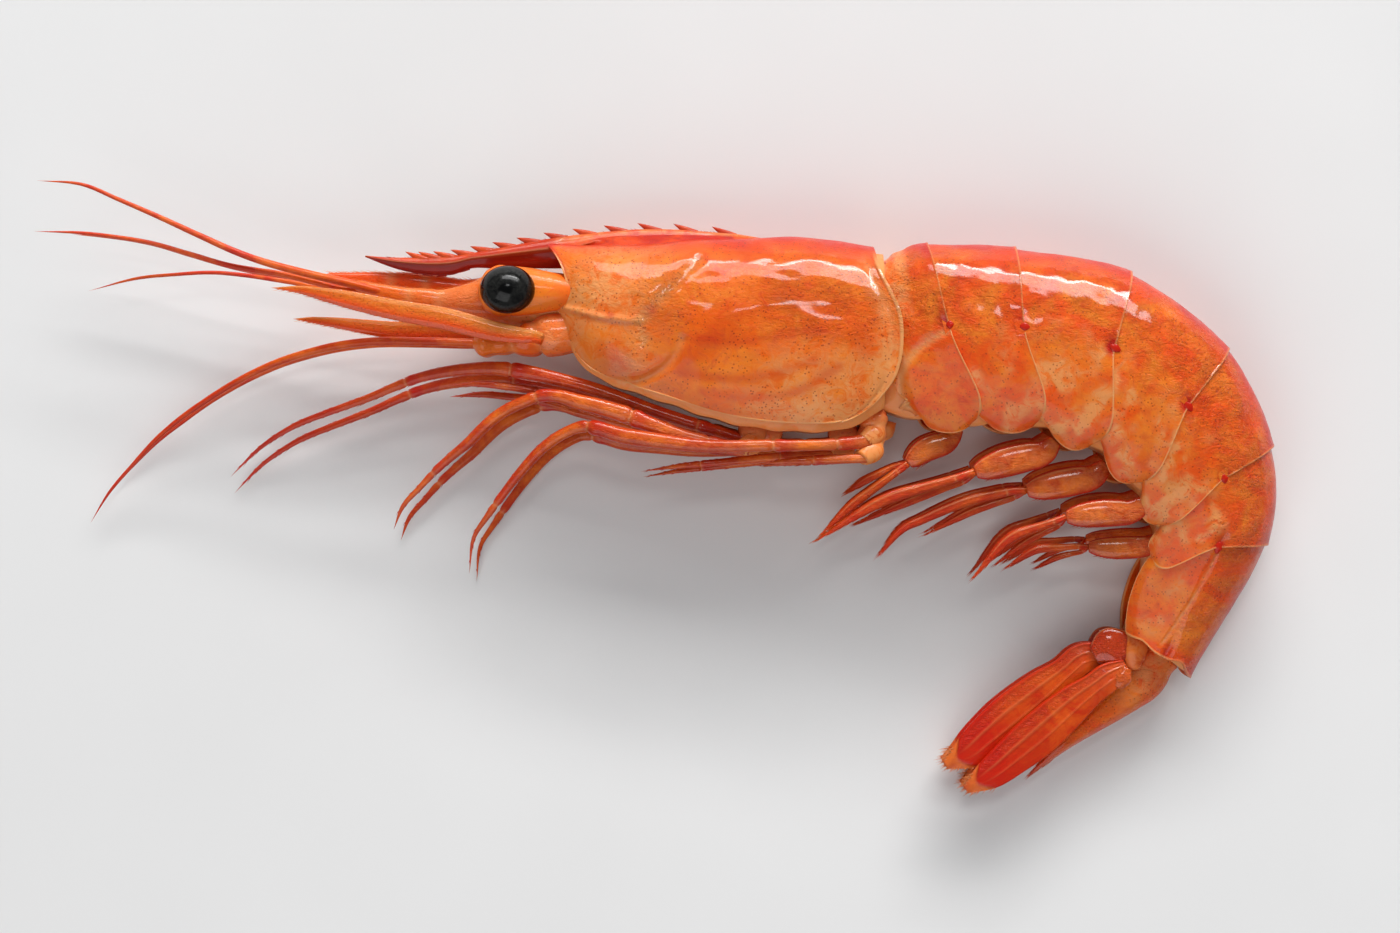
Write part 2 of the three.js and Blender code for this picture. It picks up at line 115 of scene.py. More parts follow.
def smooth(knots, values, at):
    """The values at some places between knots, on one smooth curve."""
    knots = np.asarray(knots, float)
    values = np.asarray(values, float).reshape(len(knots), -1)
    wanted = np.atleast_1d(at)
    at = np.clip(wanted, knots[0], knots[-1])
    slopes = np.gradient(values, knots, axis=0)
    i = np.clip(np.searchsorted(knots, at, side="right") - 1, 0, len(knots) - 2)
    run = (knots[i + 1] - knots[i])[:, None]
    f = (at - knots[i])[:, None] / run
    lean = f * (1 - f) * run * (slopes[i] * (1 - f) - slopes[i + 1] * f)
    past = (wanted - at)[:, None] * slopes[np.where(wanted < at, 0, -1)]
    return values[i] + (values[i + 1] - values[i]) * f * f * (3 - 2 * f) + lean + past


def ease(x, low=0.0, high=1.0):
    """0 below low, 1 above high, and an eased rise between them."""
    f = np.clip((np.asarray(x, float) - low) / (high - low), 0, 1)
    return f * f * (3 - 2 * f)


def fall(x, low=0.0, high=1.0):
    """1 below low, 0 above high, and an eased fall between them."""
    return 1 - ease(x, low, high)


def bump_at(x, place, width):
    """A round bump of height 1 at a place."""
    return np.exp(-(((np.asarray(x, float) - place) / width) ** 2))


def sides_mark(angles, width):
    """1 along both edges of a limb, 0 further round, by the angle round it."""
    return bump_at(np.abs(np.cos(angles)), 1, width)


def unit(vectors):
    """The same directions with length 1."""
    return vectors / np.maximum(np.linalg.norm(vectors, axis=-1, keepdims=True), 1e-12)


def grain_at(points, size, seed=0.0):
    """Smooth noise from -1 to 1 at each point, with lumps of that size."""
    flat = points.reshape(-1, 3) / size
    shift = Vector((seed, seed * 0.7, -seed))
    values = [noise.noise(Vector(p) + shift) for p in flat]
    return np.array(values).reshape(points.shape[:-1])


def mottle(points, size, seed):
    """Smooth noise from 0 to 1 at each point."""
    return 0.5 + 0.5 * grain_at(points, size, seed)


def crowded(count, crowding=0.12):
    """Places from 0 to 1 that lie closer together towards both ends."""
    x = np.linspace(0, 1, count)
    return x - crowding * np.sin(2 * math.pi * x)


def sheet_places(rows, columns):
    """Shares u from front to rear and, from -1 to 1, around the back, crowded at the edges."""
    u = crowded(rows)[:, None] * np.ones((1, columns))
    around = 2 * crowded(columns)[None, :] * np.ones((rows, 1)) - 1
    return u, around


def ring_places(start, end, rows, columns):
    """Places from start to end, and angles all the way round the back, as two grids."""
    s = np.linspace(start, end, rows)[:, None] * np.ones((1, columns))
    t = np.linspace(-math.pi, math.pi, columns, endpoint=False)[None, :] * np.ones((rows, 1))
    return s, t + 1e-4


class Rail:
    """The middle line of a limb from its root to its tip, with its half width and thickness."""

    def __init__(self, spots, widths, thicks):
        self.spots = np.asarray(spots, float)
        self.widths = np.asarray(widths, float)
        self.thicks = np.asarray(thicks, float)
        steps = np.linalg.norm(np.diff(self.spots, axis=0), axis=1)
        self.length = steps.sum()
        self.knots = np.concatenate([[0], np.cumsum(steps)]) / self.length

    def at(self, s):
        """Spots, half widths and half thicknesses at shares s of the way to the tip."""
        sizes = [smooth(self.knots, values, s)[:, 0] for values in (self.widths, self.thicks)]
        return smooth(self.knots, self.spots, s), *np.maximum(sizes, 0)

    def frames(self, s):
        """Spots, sideways and upward directions, half widths and half thicknesses at s."""
        spots, widths, thicks = self.at(s)
        near = 0.004
        ahead = self.at(np.minimum(np.asarray(s) + near, 1))[0]
        behind = self.at(np.maximum(np.asarray(s) - near, 0))[0]
        along = unit(ahead - behind)
        side = unit(np.stack([-along[:, 1], along[:, 0], 0 * along[:, 0]], axis=1))
        return spots, along, side, np.cross(along, side), widths, thicks

    def reversed_to(self, spot):
        """The same rail with a further root at spot."""
        spots = np.vstack([[spot], self.spots])
        widths = np.concatenate([[self.widths[0]], self.widths])
        return Rail(spots, widths, np.concatenate([[self.thicks[0]], self.thicks]))


def rail_of(tip, rows):
    """A rail through the rings that start at a tip."""
    centres = np.array([row.mean(axis=0) for row in rows[::-1]] + [tip])
    widths, thicks = [], []
    for i, row in enumerate(rows[::-1]):
        along = unit(centres[min(i + 1, len(centres) - 1)] - centres[max(i - 1, 0)])
        side = unit(np.array([-along[1], along[0], 0]))
        up = np.cross(along, side)
        apart = row - row.mean(axis=0)
        widths.append(math.sqrt(2 * np.mean((apart @ side) ** 2)))
        thicks.append(math.sqrt(2 * np.mean((apart @ up) ** 2)))
    return Rail(centres, widths + [0.0], thicks + [0.0])


def limb_rail(node):
    """The rail of a CAD limb that is one row of rings."""
    found = chains(node, LIMB_SIDES)
    longest = max(len(rows) for _, rows in found)
    options = [chain for chain in found if len(chain[1]) == longest]

    def point_length(chain):
        return abs(np.mean(chain[1][0] - chain[0], axis=0)).sum()

    return rail_of(*max(options, key=point_length))


# ---- Meshes ----

def quads(number):
    """The four-sided faces between the neighbours in a grid of point numbers."""
    corners = number[:-1, :-1], number[:-1, 1:], number[1:, 1:], number[1:, :-1]
    return np.stack(corners, axis=-1).reshape(-1, 4).tolist()


class Shape:
    """Points, faces and marks of a piece while it is being made."""

    def __init__(self):
        self.points, self.faces = [], []
        self.marks = {mark: [] for mark in MARKS}

    def add(self, points, faces, **marks):
        """Points, faces that number them from 0, and a number or a list for each mark."""
        start = len(self.points)
        points = np.asarray(points, float).reshape(-1, 3)
        self.points.extend(points.tolist())
        self.faces.extend([tuple(start + i for i in face) for face in faces])
        for mark in MARKS:
            value = np.asarray(marks.get(mark, 0.0), float).reshape(-1)
            self.marks[mark].extend(np.broadcast_to(value, len(points)).tolist())

    def add_grid(self, points, wrap=False, tip=None, **marks):
        """A grid of rows of points. With wrap each row is a ring, closed at both ends."""
        rows, columns = points.shape[:2]
        number = np.arange(rows * columns).reshape(rows, columns)
        faces = quads(np.column_stack([number, number[:, 0]]) if wrap else number)
        flat = points.reshape(-1, 3)
        spread = {k: np.broadcast_to(v, (rows, columns)).reshape(-1) for k, v in marks.items()}
        if wrap:
            first = points[0].mean(axis=0)
            last = points[-1].mean(axis=0) if tip is None else tip
            flat = np.vstack([flat, first, last])
            spread = {k: np.append(v, [v[0], v[-1]]) for k, v in spread.items()}
            for c in range(columns):
                d = (c + 1) % columns
                faces.append((rows * columns, number[0, d], number[0, c]))
                faces.append((rows * columns + 1, number[-1, c], number[-1, d]))
        self.add(flat, faces, **spread)

    def add_shell(self, outer, inner, **marks):
        """A sheet with thickness: an outer and an inner grid, and a rim between them."""
        rows, columns = outer.shape[:2]
        count = rows * columns
        number = np.arange(count).reshape(rows, columns)
        faces = []
        for quad in quads(number):
            faces += [quad, [count + i for i in reversed(quad)]]
        rim = list(number[0]) + list(number[1:, -1]) + list(number[-1, -2::-1]) + list(number[-2:0:-1, 0])
        for a, b in zip(rim, rim[1:] + rim[:1]):
            faces.append((b, a, count + a, count + b))
        both = {k: np.tile(np.broadcast_to(v, (rows, columns)).reshape(-1), 2) for k, v in marks.items()}
        self.add(np.vstack([outer.reshape(-1, 3), inner.reshape(-1, 3)]), faces, **both)

    def add_hair(self, root, direction, length, radius, bend=(0, 0, 0), **marks):
        """A thin pointed bristle with three sides."""
        along = unit(np.asarray(direction, float))
        side = unit(np.cross(along, [0.3, 0.2, 0.93]))
        up = np.cross(along, side)
        steps = 3
        rings = []
        for i in range(steps):
            f = i / steps
            middle = np.asarray(root) + along * length * f + np.asarray(bend) * f * f * length
            ways = [side * math.cos(a) + up * math.sin(a) for a in THIRDS]
            rings.append([middle + radius * (1 - f) * way for way in ways])
        tip = np.asarray(root) + along * length + np.asarray(bend) * length
        self.add_grid(np.array(rings), wrap=True, tip=tip, **marks)

    def piece(self, name, finish, nodes):
        """The finished piece, riding on the frame in place of some CAD nodes."""
        mesh = bpy.data.meshes.new(name)
        mesh.from_pydata(self.points, [], self.faces)
        for mark in MARKS:
            mesh.attributes.new(mark, "FLOAT", "POINT").data.foreach_set("value", self.marks[mark])
        editable = bmesh.new()
        editable.from_mesh(mesh)
        bmesh.ops.recalc_face_normals(editable, faces=editable.faces)
        editable.to_mesh(mesh)
        editable.free()
        mesh.polygons.foreach_set("use_smooth", [True] * len(mesh.polygons))
        mesh.materials.append(finish)
        made = placed(name, mesh)
        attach(made, "root")
        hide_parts(*nodes)


def grid_normals(points, outward_from):
    """A normal at each point of a grid, turned away from the line of middles given."""
    rows = np.gradient(points, axis=0)
    columns = np.gradient(points, axis=1)
    normals = unit(np.cross(rows, columns))
    facing = np.sum(normals * (points - outward_from), axis=-1, keepdims=True)
    return np.where(facing < 0, -normals, normals)


# ---- Finishes ----

class Sum:
    """A socket of a material on which sums can be written."""

    def __init__(self, finish, socket):
        self.finish, self.socket = finish, socket

    def _math(self, operation, first, second):
        return self.finish.node("ShaderNodeMath", {"operation": operation}, {0: first, 1: second})

    def __add__(self, other):
        return self._math("ADD", self, other)

    def __mul__(self, other):
        return self._math("MULTIPLY", self, other)

    def __sub__(self, other):
        return self._math("SUBTRACT", self, other)

    def __rsub__(self, other):
        return self._math("SUBTRACT", other, self)

    __radd__ = __add__
    __rmul__ = __mul__

    def between(self, low, high, start=0.0, end=1.0):
        """Maps low to high onto start to end, held at both ends."""
        values = {0: self, 1: low, 2: high, 3: start, 4: end}
        return self.finish.node("ShaderNodeMapRange", {"clamp": True}, values)


class Finish:
    """A material under construction: one Principled surface, fed by sums."""

    def __init__(self, name):
        self.material = bpy.data.materials.new(name)
        self.material.use_nodes = True
        self.tree = self.material.node_tree
        self.tree.nodes.clear()
        self.shader = self.tree.nodes.new("ShaderNodeBsdfPrincipled")
        output = self.tree.nodes.new("ShaderNodeOutputMaterial")
        self.tree.links.new(self.shader.outputs[0], output.inputs[0])
        place = self.node("ShaderNodeTexCoord", output="Object")
        self.place = self.node("ShaderNodeVectorMath", {"operation": "SCALE"}, {0: place, 3: 1 / MM})

    def node(self, kind, settings=None, values=None, output=0):
        """Any node: its settings first, then the values or links of its sockets."""
        made = self.tree.nodes.new(kind)
        for key, setting in (settings or {}).items():
            setattr(made, key, setting)
        for key, value in (values or {}).items():
            if isinstance(value, Sum):
                self.tree.links.new(value.socket, made.inputs[key])
            else:
                made.inputs[key].default_value = value
        return Sum(self, made.outputs[output])

    def mark(self, name):
        """What the surface's points say about one mark."""
        return self.node("ShaderNodeAttribute", {"attribute_name": name}, output="Fac")

    def noise(self, size, detail=3.0, rough=0.55, twist=0.0, place=None):
        """Noise with lumps of a size in millimetres."""
        values = {"Vector": place or self.place, "Scale": 1 / size, "Detail": detail,
                  "Roughness": rough, "Distortion": twist}
        return self.node("ShaderNodeTexNoise", values=values, output="Fac")

    def stretched(self, x, y, z):
        """Places squeezed along each axis, so that a pattern on them is drawn out."""
        return self.node("ShaderNodeVectorMath", {"operation": "MULTIPLY"}, {0: self.place, 1: (x, y, z)})

    def cells(self, size, spread=1.0):
        """Distance to the nearest of many scattered spots, in sizes."""
        values = {"Vector": self.place, "Scale": 1 / size, "Randomness": spread}
        return self.node("ShaderNodeTexVoronoi", values=values, output="Distance")

    def mix(self, share, first, second, blend="MIX"):
        """A colour mix: share 0 is the first colour, share 1 the second."""
        colour = [(*c, 1) if isinstance(c, tuple) else c for c in (first, second)]
        settings = {"data_type": "RGBA", "blend_type": blend, "clamp_factor": True}
        return self.node("ShaderNodeMix", settings, {0: share, 6: colour[0], 7: colour[1]}, output=2)

    def bump(self, height, depth, normal=None):
        """Relief of a depth in millimetres."""
        values = {"Strength": 1.0, "Distance": depth * MM, "Height": height}
        if normal:
            values["Normal"] = normal
        return self.node("ShaderNodeBump", values=values, output="Normal")

    def set(self, **sockets):
        """Sets or links sockets of the shader, named with _ for each space."""
        for key, value in sockets.items():
            socket = self.shader.inputs[key.replace("_", " ")]
            if isinstance(value, Sum):
                self.tree.links.new(value.socket, socket)
            else:
                socket.default_value = (*value, 1) if key == "Base_Color" else value
        return self


DOT_RED = (0.3, 0.022, 0.002)  # the small dots of the shell
PALE_AND_HIGHLIGHT_CREAM = (0.86, 0.37, 0.13)  # its pale edges and ribs, and the painted highlight lines along some limbs


def shell_finish(name, base, deep, light, milk, dots=0.5, wrinkle=0.05, glow=0.18):
    """Wet translucent shell: a mottled base, deep red where marked, pale at marked edges, ribs and
    painted highlight lines, and milky where the flesh shows through, with small dark red dots and fine
    wrinkles."""
    finish = Finish(name)
    blotch = finish.noise(4.5, detail=5, rough=0.6, twist=0.9)
    cloud = finish.noise(1.5, detail=6, rough=0.68, twist=1.3)
    fibre = finish.noise(0.5, detail=4, place=finish.stretched(0.35, 1, 0.8))
    colour = finish.mix(blotch.between(0.42, 0.64), base, light)
    colour = finish.mix(cloud.between(0.5, 0.68) * 0.5, colour, deep)
    colour = finish.mix(fibre.between(0.52, 0.72) * 0.25, colour, light)
    milky = finish.mark("milk") * (0.15 + cloud.between(0.38, 0.58) * 1.3)
    colour = finish.mix(milky.between(0.05, 1.1, 0, 0.9), colour, milk)
    redness = finish.mark("red") * (0.45 + blotch * 1.1)
    colour = finish.mix(redness.between(0.05, 1.0), colour, deep)
    spot = finish.cells(0.38).between(0.16, 0.27, 1, 0)
    rare = finish.noise(2.2, detail=3).between(0.4, 0.56)
    colour = finish.mix(spot * rare * dots * 0.8, colour, DOT_RED)
    # pale: edges and ribs in their own colour, and painted highlight lines on swimmerets and feeler scales
    colour = finish.mix(finish.mark("pale").between(0, 1, 0, 0.85), colour, PALE_AND_HIGHLIGHT_CREAM)
    wet = finish.mark("wet")
    rough = finish.noise(0.9, detail=4).between(0.3, 0.7, 0.34, 0.5) - wet * 0.14
    ripple = finish.noise(1.2, detail=5, rough=0.6, twist=2.2, place=finish.stretched(0.75, 1.3, 1))
    crinkle = finish.noise(0.55, detail=4, rough=0.6, twist=3.0, place=finish.stretched(0.6, 1.4, 1))
    relief = finish.bump((ripple + crinkle * 0.45) * wet, 0.6)
    relief = finish.bump(fibre * 0.7 + cloud * 1.2, wrinkle, relief)
    relief = finish.bump(finish.noise(0.28, detail=3), wrinkle * 0.4, relief)
    finish.set(Base_Color=colour, Roughness=rough, Normal=relief)
    finish.set(Subsurface_Weight=glow, Subsurface_Radius=(1.0, 0.35, 0.12), Subsurface_Scale=1.2 * MM)
    finish.set(Coat_Weight=(wet * 0.7 + 0.3).between(0, 1), Coat_Roughness=0.09)
    finish.set(IOR=1.4, Specular_IOR_Level=0.2)
    return finish.material


def eye_finish():
    """A polished dark eye, black in its middle and round its rim, grey between them."""
    finish = Finish("eye_surface")
    haze = finish.noise(0.7, detail=5, twist=1.0).between(0.35, 0.7)
    grey = finish.mix(haze, (0.004, 0.004, 0.004), (0.022, 0.022, 0.02))
    colour = finish.mix(finish.mark("red"), grey, (0.001, 0.001, 0.001))
    facets = finish.cells(0.09, 0.3).between(0, 0.7)
    finish.set(Base_Color=colour, Roughness=0.16)
    finish.set(Normal=finish.bump(facets, 0.003), Coat_Weight=0.22, Coat_Roughness=0.03)
    finish.set(Specular_IOR_Level=0.1)
    return finish.material


def floor_finish():
    """A matt pale table."""
    finish = Finish("pale_table")
    cloud = finish.noise(60, detail=3)
    colour = finish.mix(cloud.between(0.3, 0.7), (0.78, 0.775, 0.765), (0.82, 0.815, 0.805))
    finish.set(Base_Color=colour, Roughness=0.62, Specular_IOR_Level=0.25)
    return finish.material


# ---- The body's own lines, read from the frame ----

PLATES = 7
LOWER_EDGE = math.radians(165)  # how far round from the back a plate reaches


def back_and_belly(ring, inside):
    """A plate ring as numbers: back x, y, belly x, y, half width and height of its middle."""
    apart = np.linalg.norm(ring[:, None, :2] - ring[None, :, :2], axis=2)
    a, b = np.unravel_index(apart.argmax(), apart.shape)
    far = [np.linalg.norm(ring[i, :2] - inside[:2]) for i in (a, b)]
    back, belly = (ring[a], ring[b]) if far[0] > far[1] else (ring[b], ring[a])
    return [back[0], back[1], belly[0], belly[1], ring[:, 2].max() - back[2], back[2]]


def middle_of(node):
    """The middle of a CAD node's box."""
    low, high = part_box(node)
    return (np.array(low) + np.array(high)) / 2


def read_plates():
    """The lines between the tail plates, and how far each plate's lobes hang below them."""
    inside = middle_of("swimmeret_left_3")
    before = middle_of("carapace")
    lines, halfway = [], []
    for k in range(1, PLATES + 1):
        ends = chains(f"abdomen_{k}", PLATE_SIDES)
        first, last = sorted(ends, key=lambda chain: np.linalg.norm(chain[0] - before))
        lines.append(back_and_belly(first[1][0], inside))
        halfway.append(back_and_belly(first[1][len(first[1]) // 2], inside))
        before = last[0]
        if k == PLATES:
            lines.append(back_and_belly(last[1][0], inside))
    lines = np.array(lines)
    lobes = []
    for k in range(PLATES):
        level = smooth(range(PLATES + 1), lines, k + 0.5)[0]
        lobes.append(np.linalg.norm(np.array(halfway[k])[2:4] - level[2:4]))
    return lines, lobes


def read_shell():
    """The head shell's rings from front to rear: x, middle y, half depth, half width, crest y,
    and the same for the rings of the beak in front of it."""
    ends = chains("carapace", SHELL_SIDES)
    rows = max(ends, key=lambda chain: chain[0][0])[1]
    tip = min(ends, key=lambda chain: chain[0][0])[0]
    foot = 1.9925  # a foot of the crest stands this many half depths above the belly
    body, beak = [], []
    for ring in rows[::-1]:
        order = np.argsort(-ring[:, 1])
        crest, belly = ring[order[0]], ring[order[-1]]
        depth = (ring[order[1:3], 1].mean() - belly[1]) / foot
        row = [crest[0], belly[1] + depth, depth, ring[:, 2].max() - crest[2], crest[1], crest[2]]
        (body if depth > 2.5 * MM else beak).append(row)
    return np.array(body), np.array(beak), tip


LINES, LOBES = read_plates()
SHELL, BEAK, BEAK_TIP = read_shell()
MID = SHELL[0, 5]


def profile(q, lower=0.9):
    """Half width at a level q from 1 on the back to -1 on the belly, as a share of the widest."""
    held = np.where(q < 0, q * lower, q)
    fullness = np.where(q > 0, 0.75, 0.5)
    return np.maximum(1 - held ** 2, 0) ** (fullness / 2)


def tail_surface(s, t, drop=0.0):
    """Points of the tail's skin: s counts plates from the head, t goes round from the back."""
    facts = smooth(range(PLATES + 1), LINES, np.ravel(s)).reshape(*s.shape, 6)
    back, belly, half, height = facts[..., :2], facts[..., 2:4], facts[..., 4], facts[..., 5]
    outward = unit(back - belly)
    belly = belly - outward * np.asarray(drop)[..., None] if np.ndim(drop) else belly
    q = np.cos(t)
    flat = (back + belly) / 2 + (back - belly) / 2 * q[..., None]
    z = height + half * profile(q) * np.sign(t)
    return np.concatenate([flat, z[..., None]], axis=-1)


def tail_axis(s):
    """Points on the middle line of the tail."""
    facts = smooth(range(PLATES + 1), LINES, np.ravel(s)).reshape(*s.shape, 6)
    flat = (facts[..., :2] + facts[..., 2:4]) / 2
    return np.concatenate([flat, facts[..., 5:]], axis=-1)


def on_floor(points, least=FLOOR_CLEARANCE):
    """The same points, none lower than a height above the floor."""
    points[..., 2] = np.maximum(points[..., 2], least)
    return points


# ---- Settings ----

def length_setting(name, description, default):
    return bpy.props.FloatProperty(
        name=name, description=description, default=default, unit="LENGTH", precision=5)


def colour_setting(name, description, default):
    return bpy.props.FloatVectorProperty(
        name=name, description=description, default=default, subtype="COLOR")


def power_setting(name, description, default):
    return bpy.props.FloatProperty(name=name, description=description, default=default, unit="POWER")


class ShellSettings(bpy.types.PropertyGroup):
    """Sizes and colours of the shell."""
    thickness: length_setting("Thickness", "Thickness of the shell plates", 0.28 * MM)
    flare: length_setting("Flare", "How far a rear edge stands off the next plate", 0.24 * MM)
    orange: colour_setting("Orange", "Main colour of the tail plates", (0.86, 0.085, 0.002))
    amber: colour_setting("Amber", "Main colour of the head shell", (0.84, 0.12, 0.002))
    light: colour_setting("Light", "Lighter blotches of the shell", (0.88, 0.2, 0.012))
    red: colour_setting("Red", "Deep red of the back and the crest", (0.56, 0.013, 0.001))
    wine: colour_setting("Wine", "Darkest red, low on the beak", (0.3, 0.007, 0.001))
    milk: colour_setting("Milk", "Flesh that shows through the shell", (0.86, 0.32, 0.095))


class LimbSettings(bpy.types.PropertyGroup):
    """Sizes and colours of legs, feelers and fan."""
    bristle: length_setting("Bristle", "Thickness of a bristle at its root", 0.05 * MM)
    vermilion: colour_setting("Vermilion", "Main colour of legs and swimmerets", (0.54, 0.05, 0.002))
    scarlet: colour_setting("Scarlet", "Colour of the whips", (0.6, 0.035, 0.003))


class StageSettings(bpy.types.PropertyGroup):
    """Camera and light."""
    lens: bpy.props.FloatProperty(
        name="Lens", description="Focal length of the camera", default=100, min=20)
    view_width: length_setting("View width", "Width seen at the height of the body's middle", 140 * MM)
    key: power_setting("Key light", "Power of the soft light over the back", 17.5)
    fill: power_setting("Fill light", "Power of the soft light from the legs' side", 13.5)
    glint: power_setting("Glint light", "Power of the small light that the wet shell reflects", 2.2)


class ShrimpSettings(bpy.types.PropertyGroup):
    """All the settings of the shrimp."""
    shell: bpy.props.PointerProperty(type=ShellSettings)
    limbs: bpy.props.PointerProperty(type=LimbSettings)
    stage: bpy.props.PointerProperty(type=StageSettings)


def settings():
    return bpy.context.scene.shrimp


LOOKS = {}  # the shell materials made so far, by name


def shell_look(name, base, deep=None, light=None, **extra):
    """The shell material of that name, made once."""
    shell = settings().shell
    if name not in LOOKS:
        colours = [tuple(c) for c in (base, deep or shell.red, light or shell.light, shell.milk)]
        LOOKS[name] = shell_finish(name, *colours, **extra)
    return LOOKS[name]


def plate_look():
    return shell_look("plate_surface", settings().shell.orange, dots=0.8, wrinkle=0.05, glow=0.16)


def crest_look():
    shell = settings().shell
    return shell_look("crest_surface", shell.red, shell.wine, shell.orange, dots=0, wrinkle=0.04, glow=0.08)


def face_look():
    shell = settings().shell
    return shell_look("face_surface", shell.light, shell.orange, dots=0.5, wrinkle=0.05, glow=0.2)


def limb_look(name="limb_shell"):
    return shell_look(name, settings().limbs.vermilion, dots=0.15, wrinkle=0.035, glow=0.12)


def whip_look():
    return shell_look("whip_shell", settings().limbs.scarlet, dots=0.0, wrinkle=0.02, glow=0.05)


def flesh_look():
    return shell_look("soft_flesh", settings().shell.milk, dots=0.1, wrinkle=0.05, glow=0.3)


# ---- Head shell ----

SHELL_ROWS = 170  # from the front edge to the rear one
SHELL_COLUMNS = 221  # from one lower edge over the back to the other
SHELL_EDGE = math.radians(152)  # how far round from the back the head shell reaches
# How far the shell's rear edge stands behind the frame's last ring, in millimetres, by the
# share of the way from the back (0) to the lower edge (1).
REAR_REACH = [(0, -2.2), (0.14, -2.05), (0.29, -1.65), (0.43, -0.5), (0.515, 0.2), (0.69, 0.55),
              (0.8, 0.25), (0.88, -0.4), (0.93, -1.4), (0.975, -2.9), (1, -4.8)]
# Lines drawn on the flank, as x and y places in millimetres.
CHEEK_RIDGE = [(-10.2, 17.9), (-8.4, 17.5), (-5.9, 16.8), (-3.4, 16.4), (-1.6, 16.3)]
NECK_GROOVE = [(4.2, 22.4), (2.0, 20.1), (-0.3, 17.9), (-1.5, 16.0), (-1.2, 14.2)]
LOBE_GROOVE = [(-7.9, 12.4), (-6.3, 10.9), (-3.8, 10.2), (-1.0, 10.6), (1.4, 12.2), (2.6, 14.4)]
GILL_ARC = [(3.0, 13.0), (6.5, 16.4), (12.0, 18.2), (17.5, 17.2), (20.8, 13.8)]
GILL_VEINS = [[(2.5, 11.2), (6.5, 10.6), (11, 10.9), (15.5, 12.3)],
              [(4.5, 9.4), (9, 8.7), (14, 9.4), (18, 11.8)],
              [(4.2, 14.6), (8, 14.2), (12.5, 14.9), (16.5, 15.4)]]


def near_line(points, route, width):
    """1 on a smooth line through some x and y places in millimetres, 0 further off."""
    count = 14 * len(route)
    line = smooth(range(len(route)), route, np.linspace(0, len(route) - 1, count)) * MM
    apart = points[..., None, :2] - line
    gap = np.sqrt((apart ** 2).sum(axis=-1).min(axis=-1))
    return bump_at(gap, 0, width * MM)


def near_spot(points, x, y, width):
    """1 at one x and y place in millimetres, 0 further off."""
    gap = np.hypot(points[..., 0] - x * MM, points[..., 1] - y * MM)
    return bump_at(gap, 0, width * MM)


def shell_at(x, t):
    """Points of the head shell at some places along X and angles from the back."""
    facts = smooth(SHELL[:, 0], SHELL[:, 1:4], np.ravel(x)).reshape(*x.shape, 3)
    q = np.cos(t)
    y = facts[..., 0] + facts[..., 1] * q
    z = MID + facts[..., 2] * profile(q, 0.86) * np.sign(t)
    return np.stack([x, y, z], axis=-1)


def shell_places(u, w):
    """Where along X a point lies that is u of the way from the front edge to the rear one."""
    knots, reach = zip(*REAR_REACH)
    rear = SHELL[-1, 0] + smooth(knots, reach, np.ravel(w)).reshape(w.shape) * MM
    orbit = 0.9 * bump_at(w, 0.56, 0.15) - 0.5 * bump_at(w, 0.93, 0.05) - 1.1 * bump_at(w, 0.2, 0.2)
    front = SHELL[0, 0] + orbit * MM
    return front + (rear - front) * u


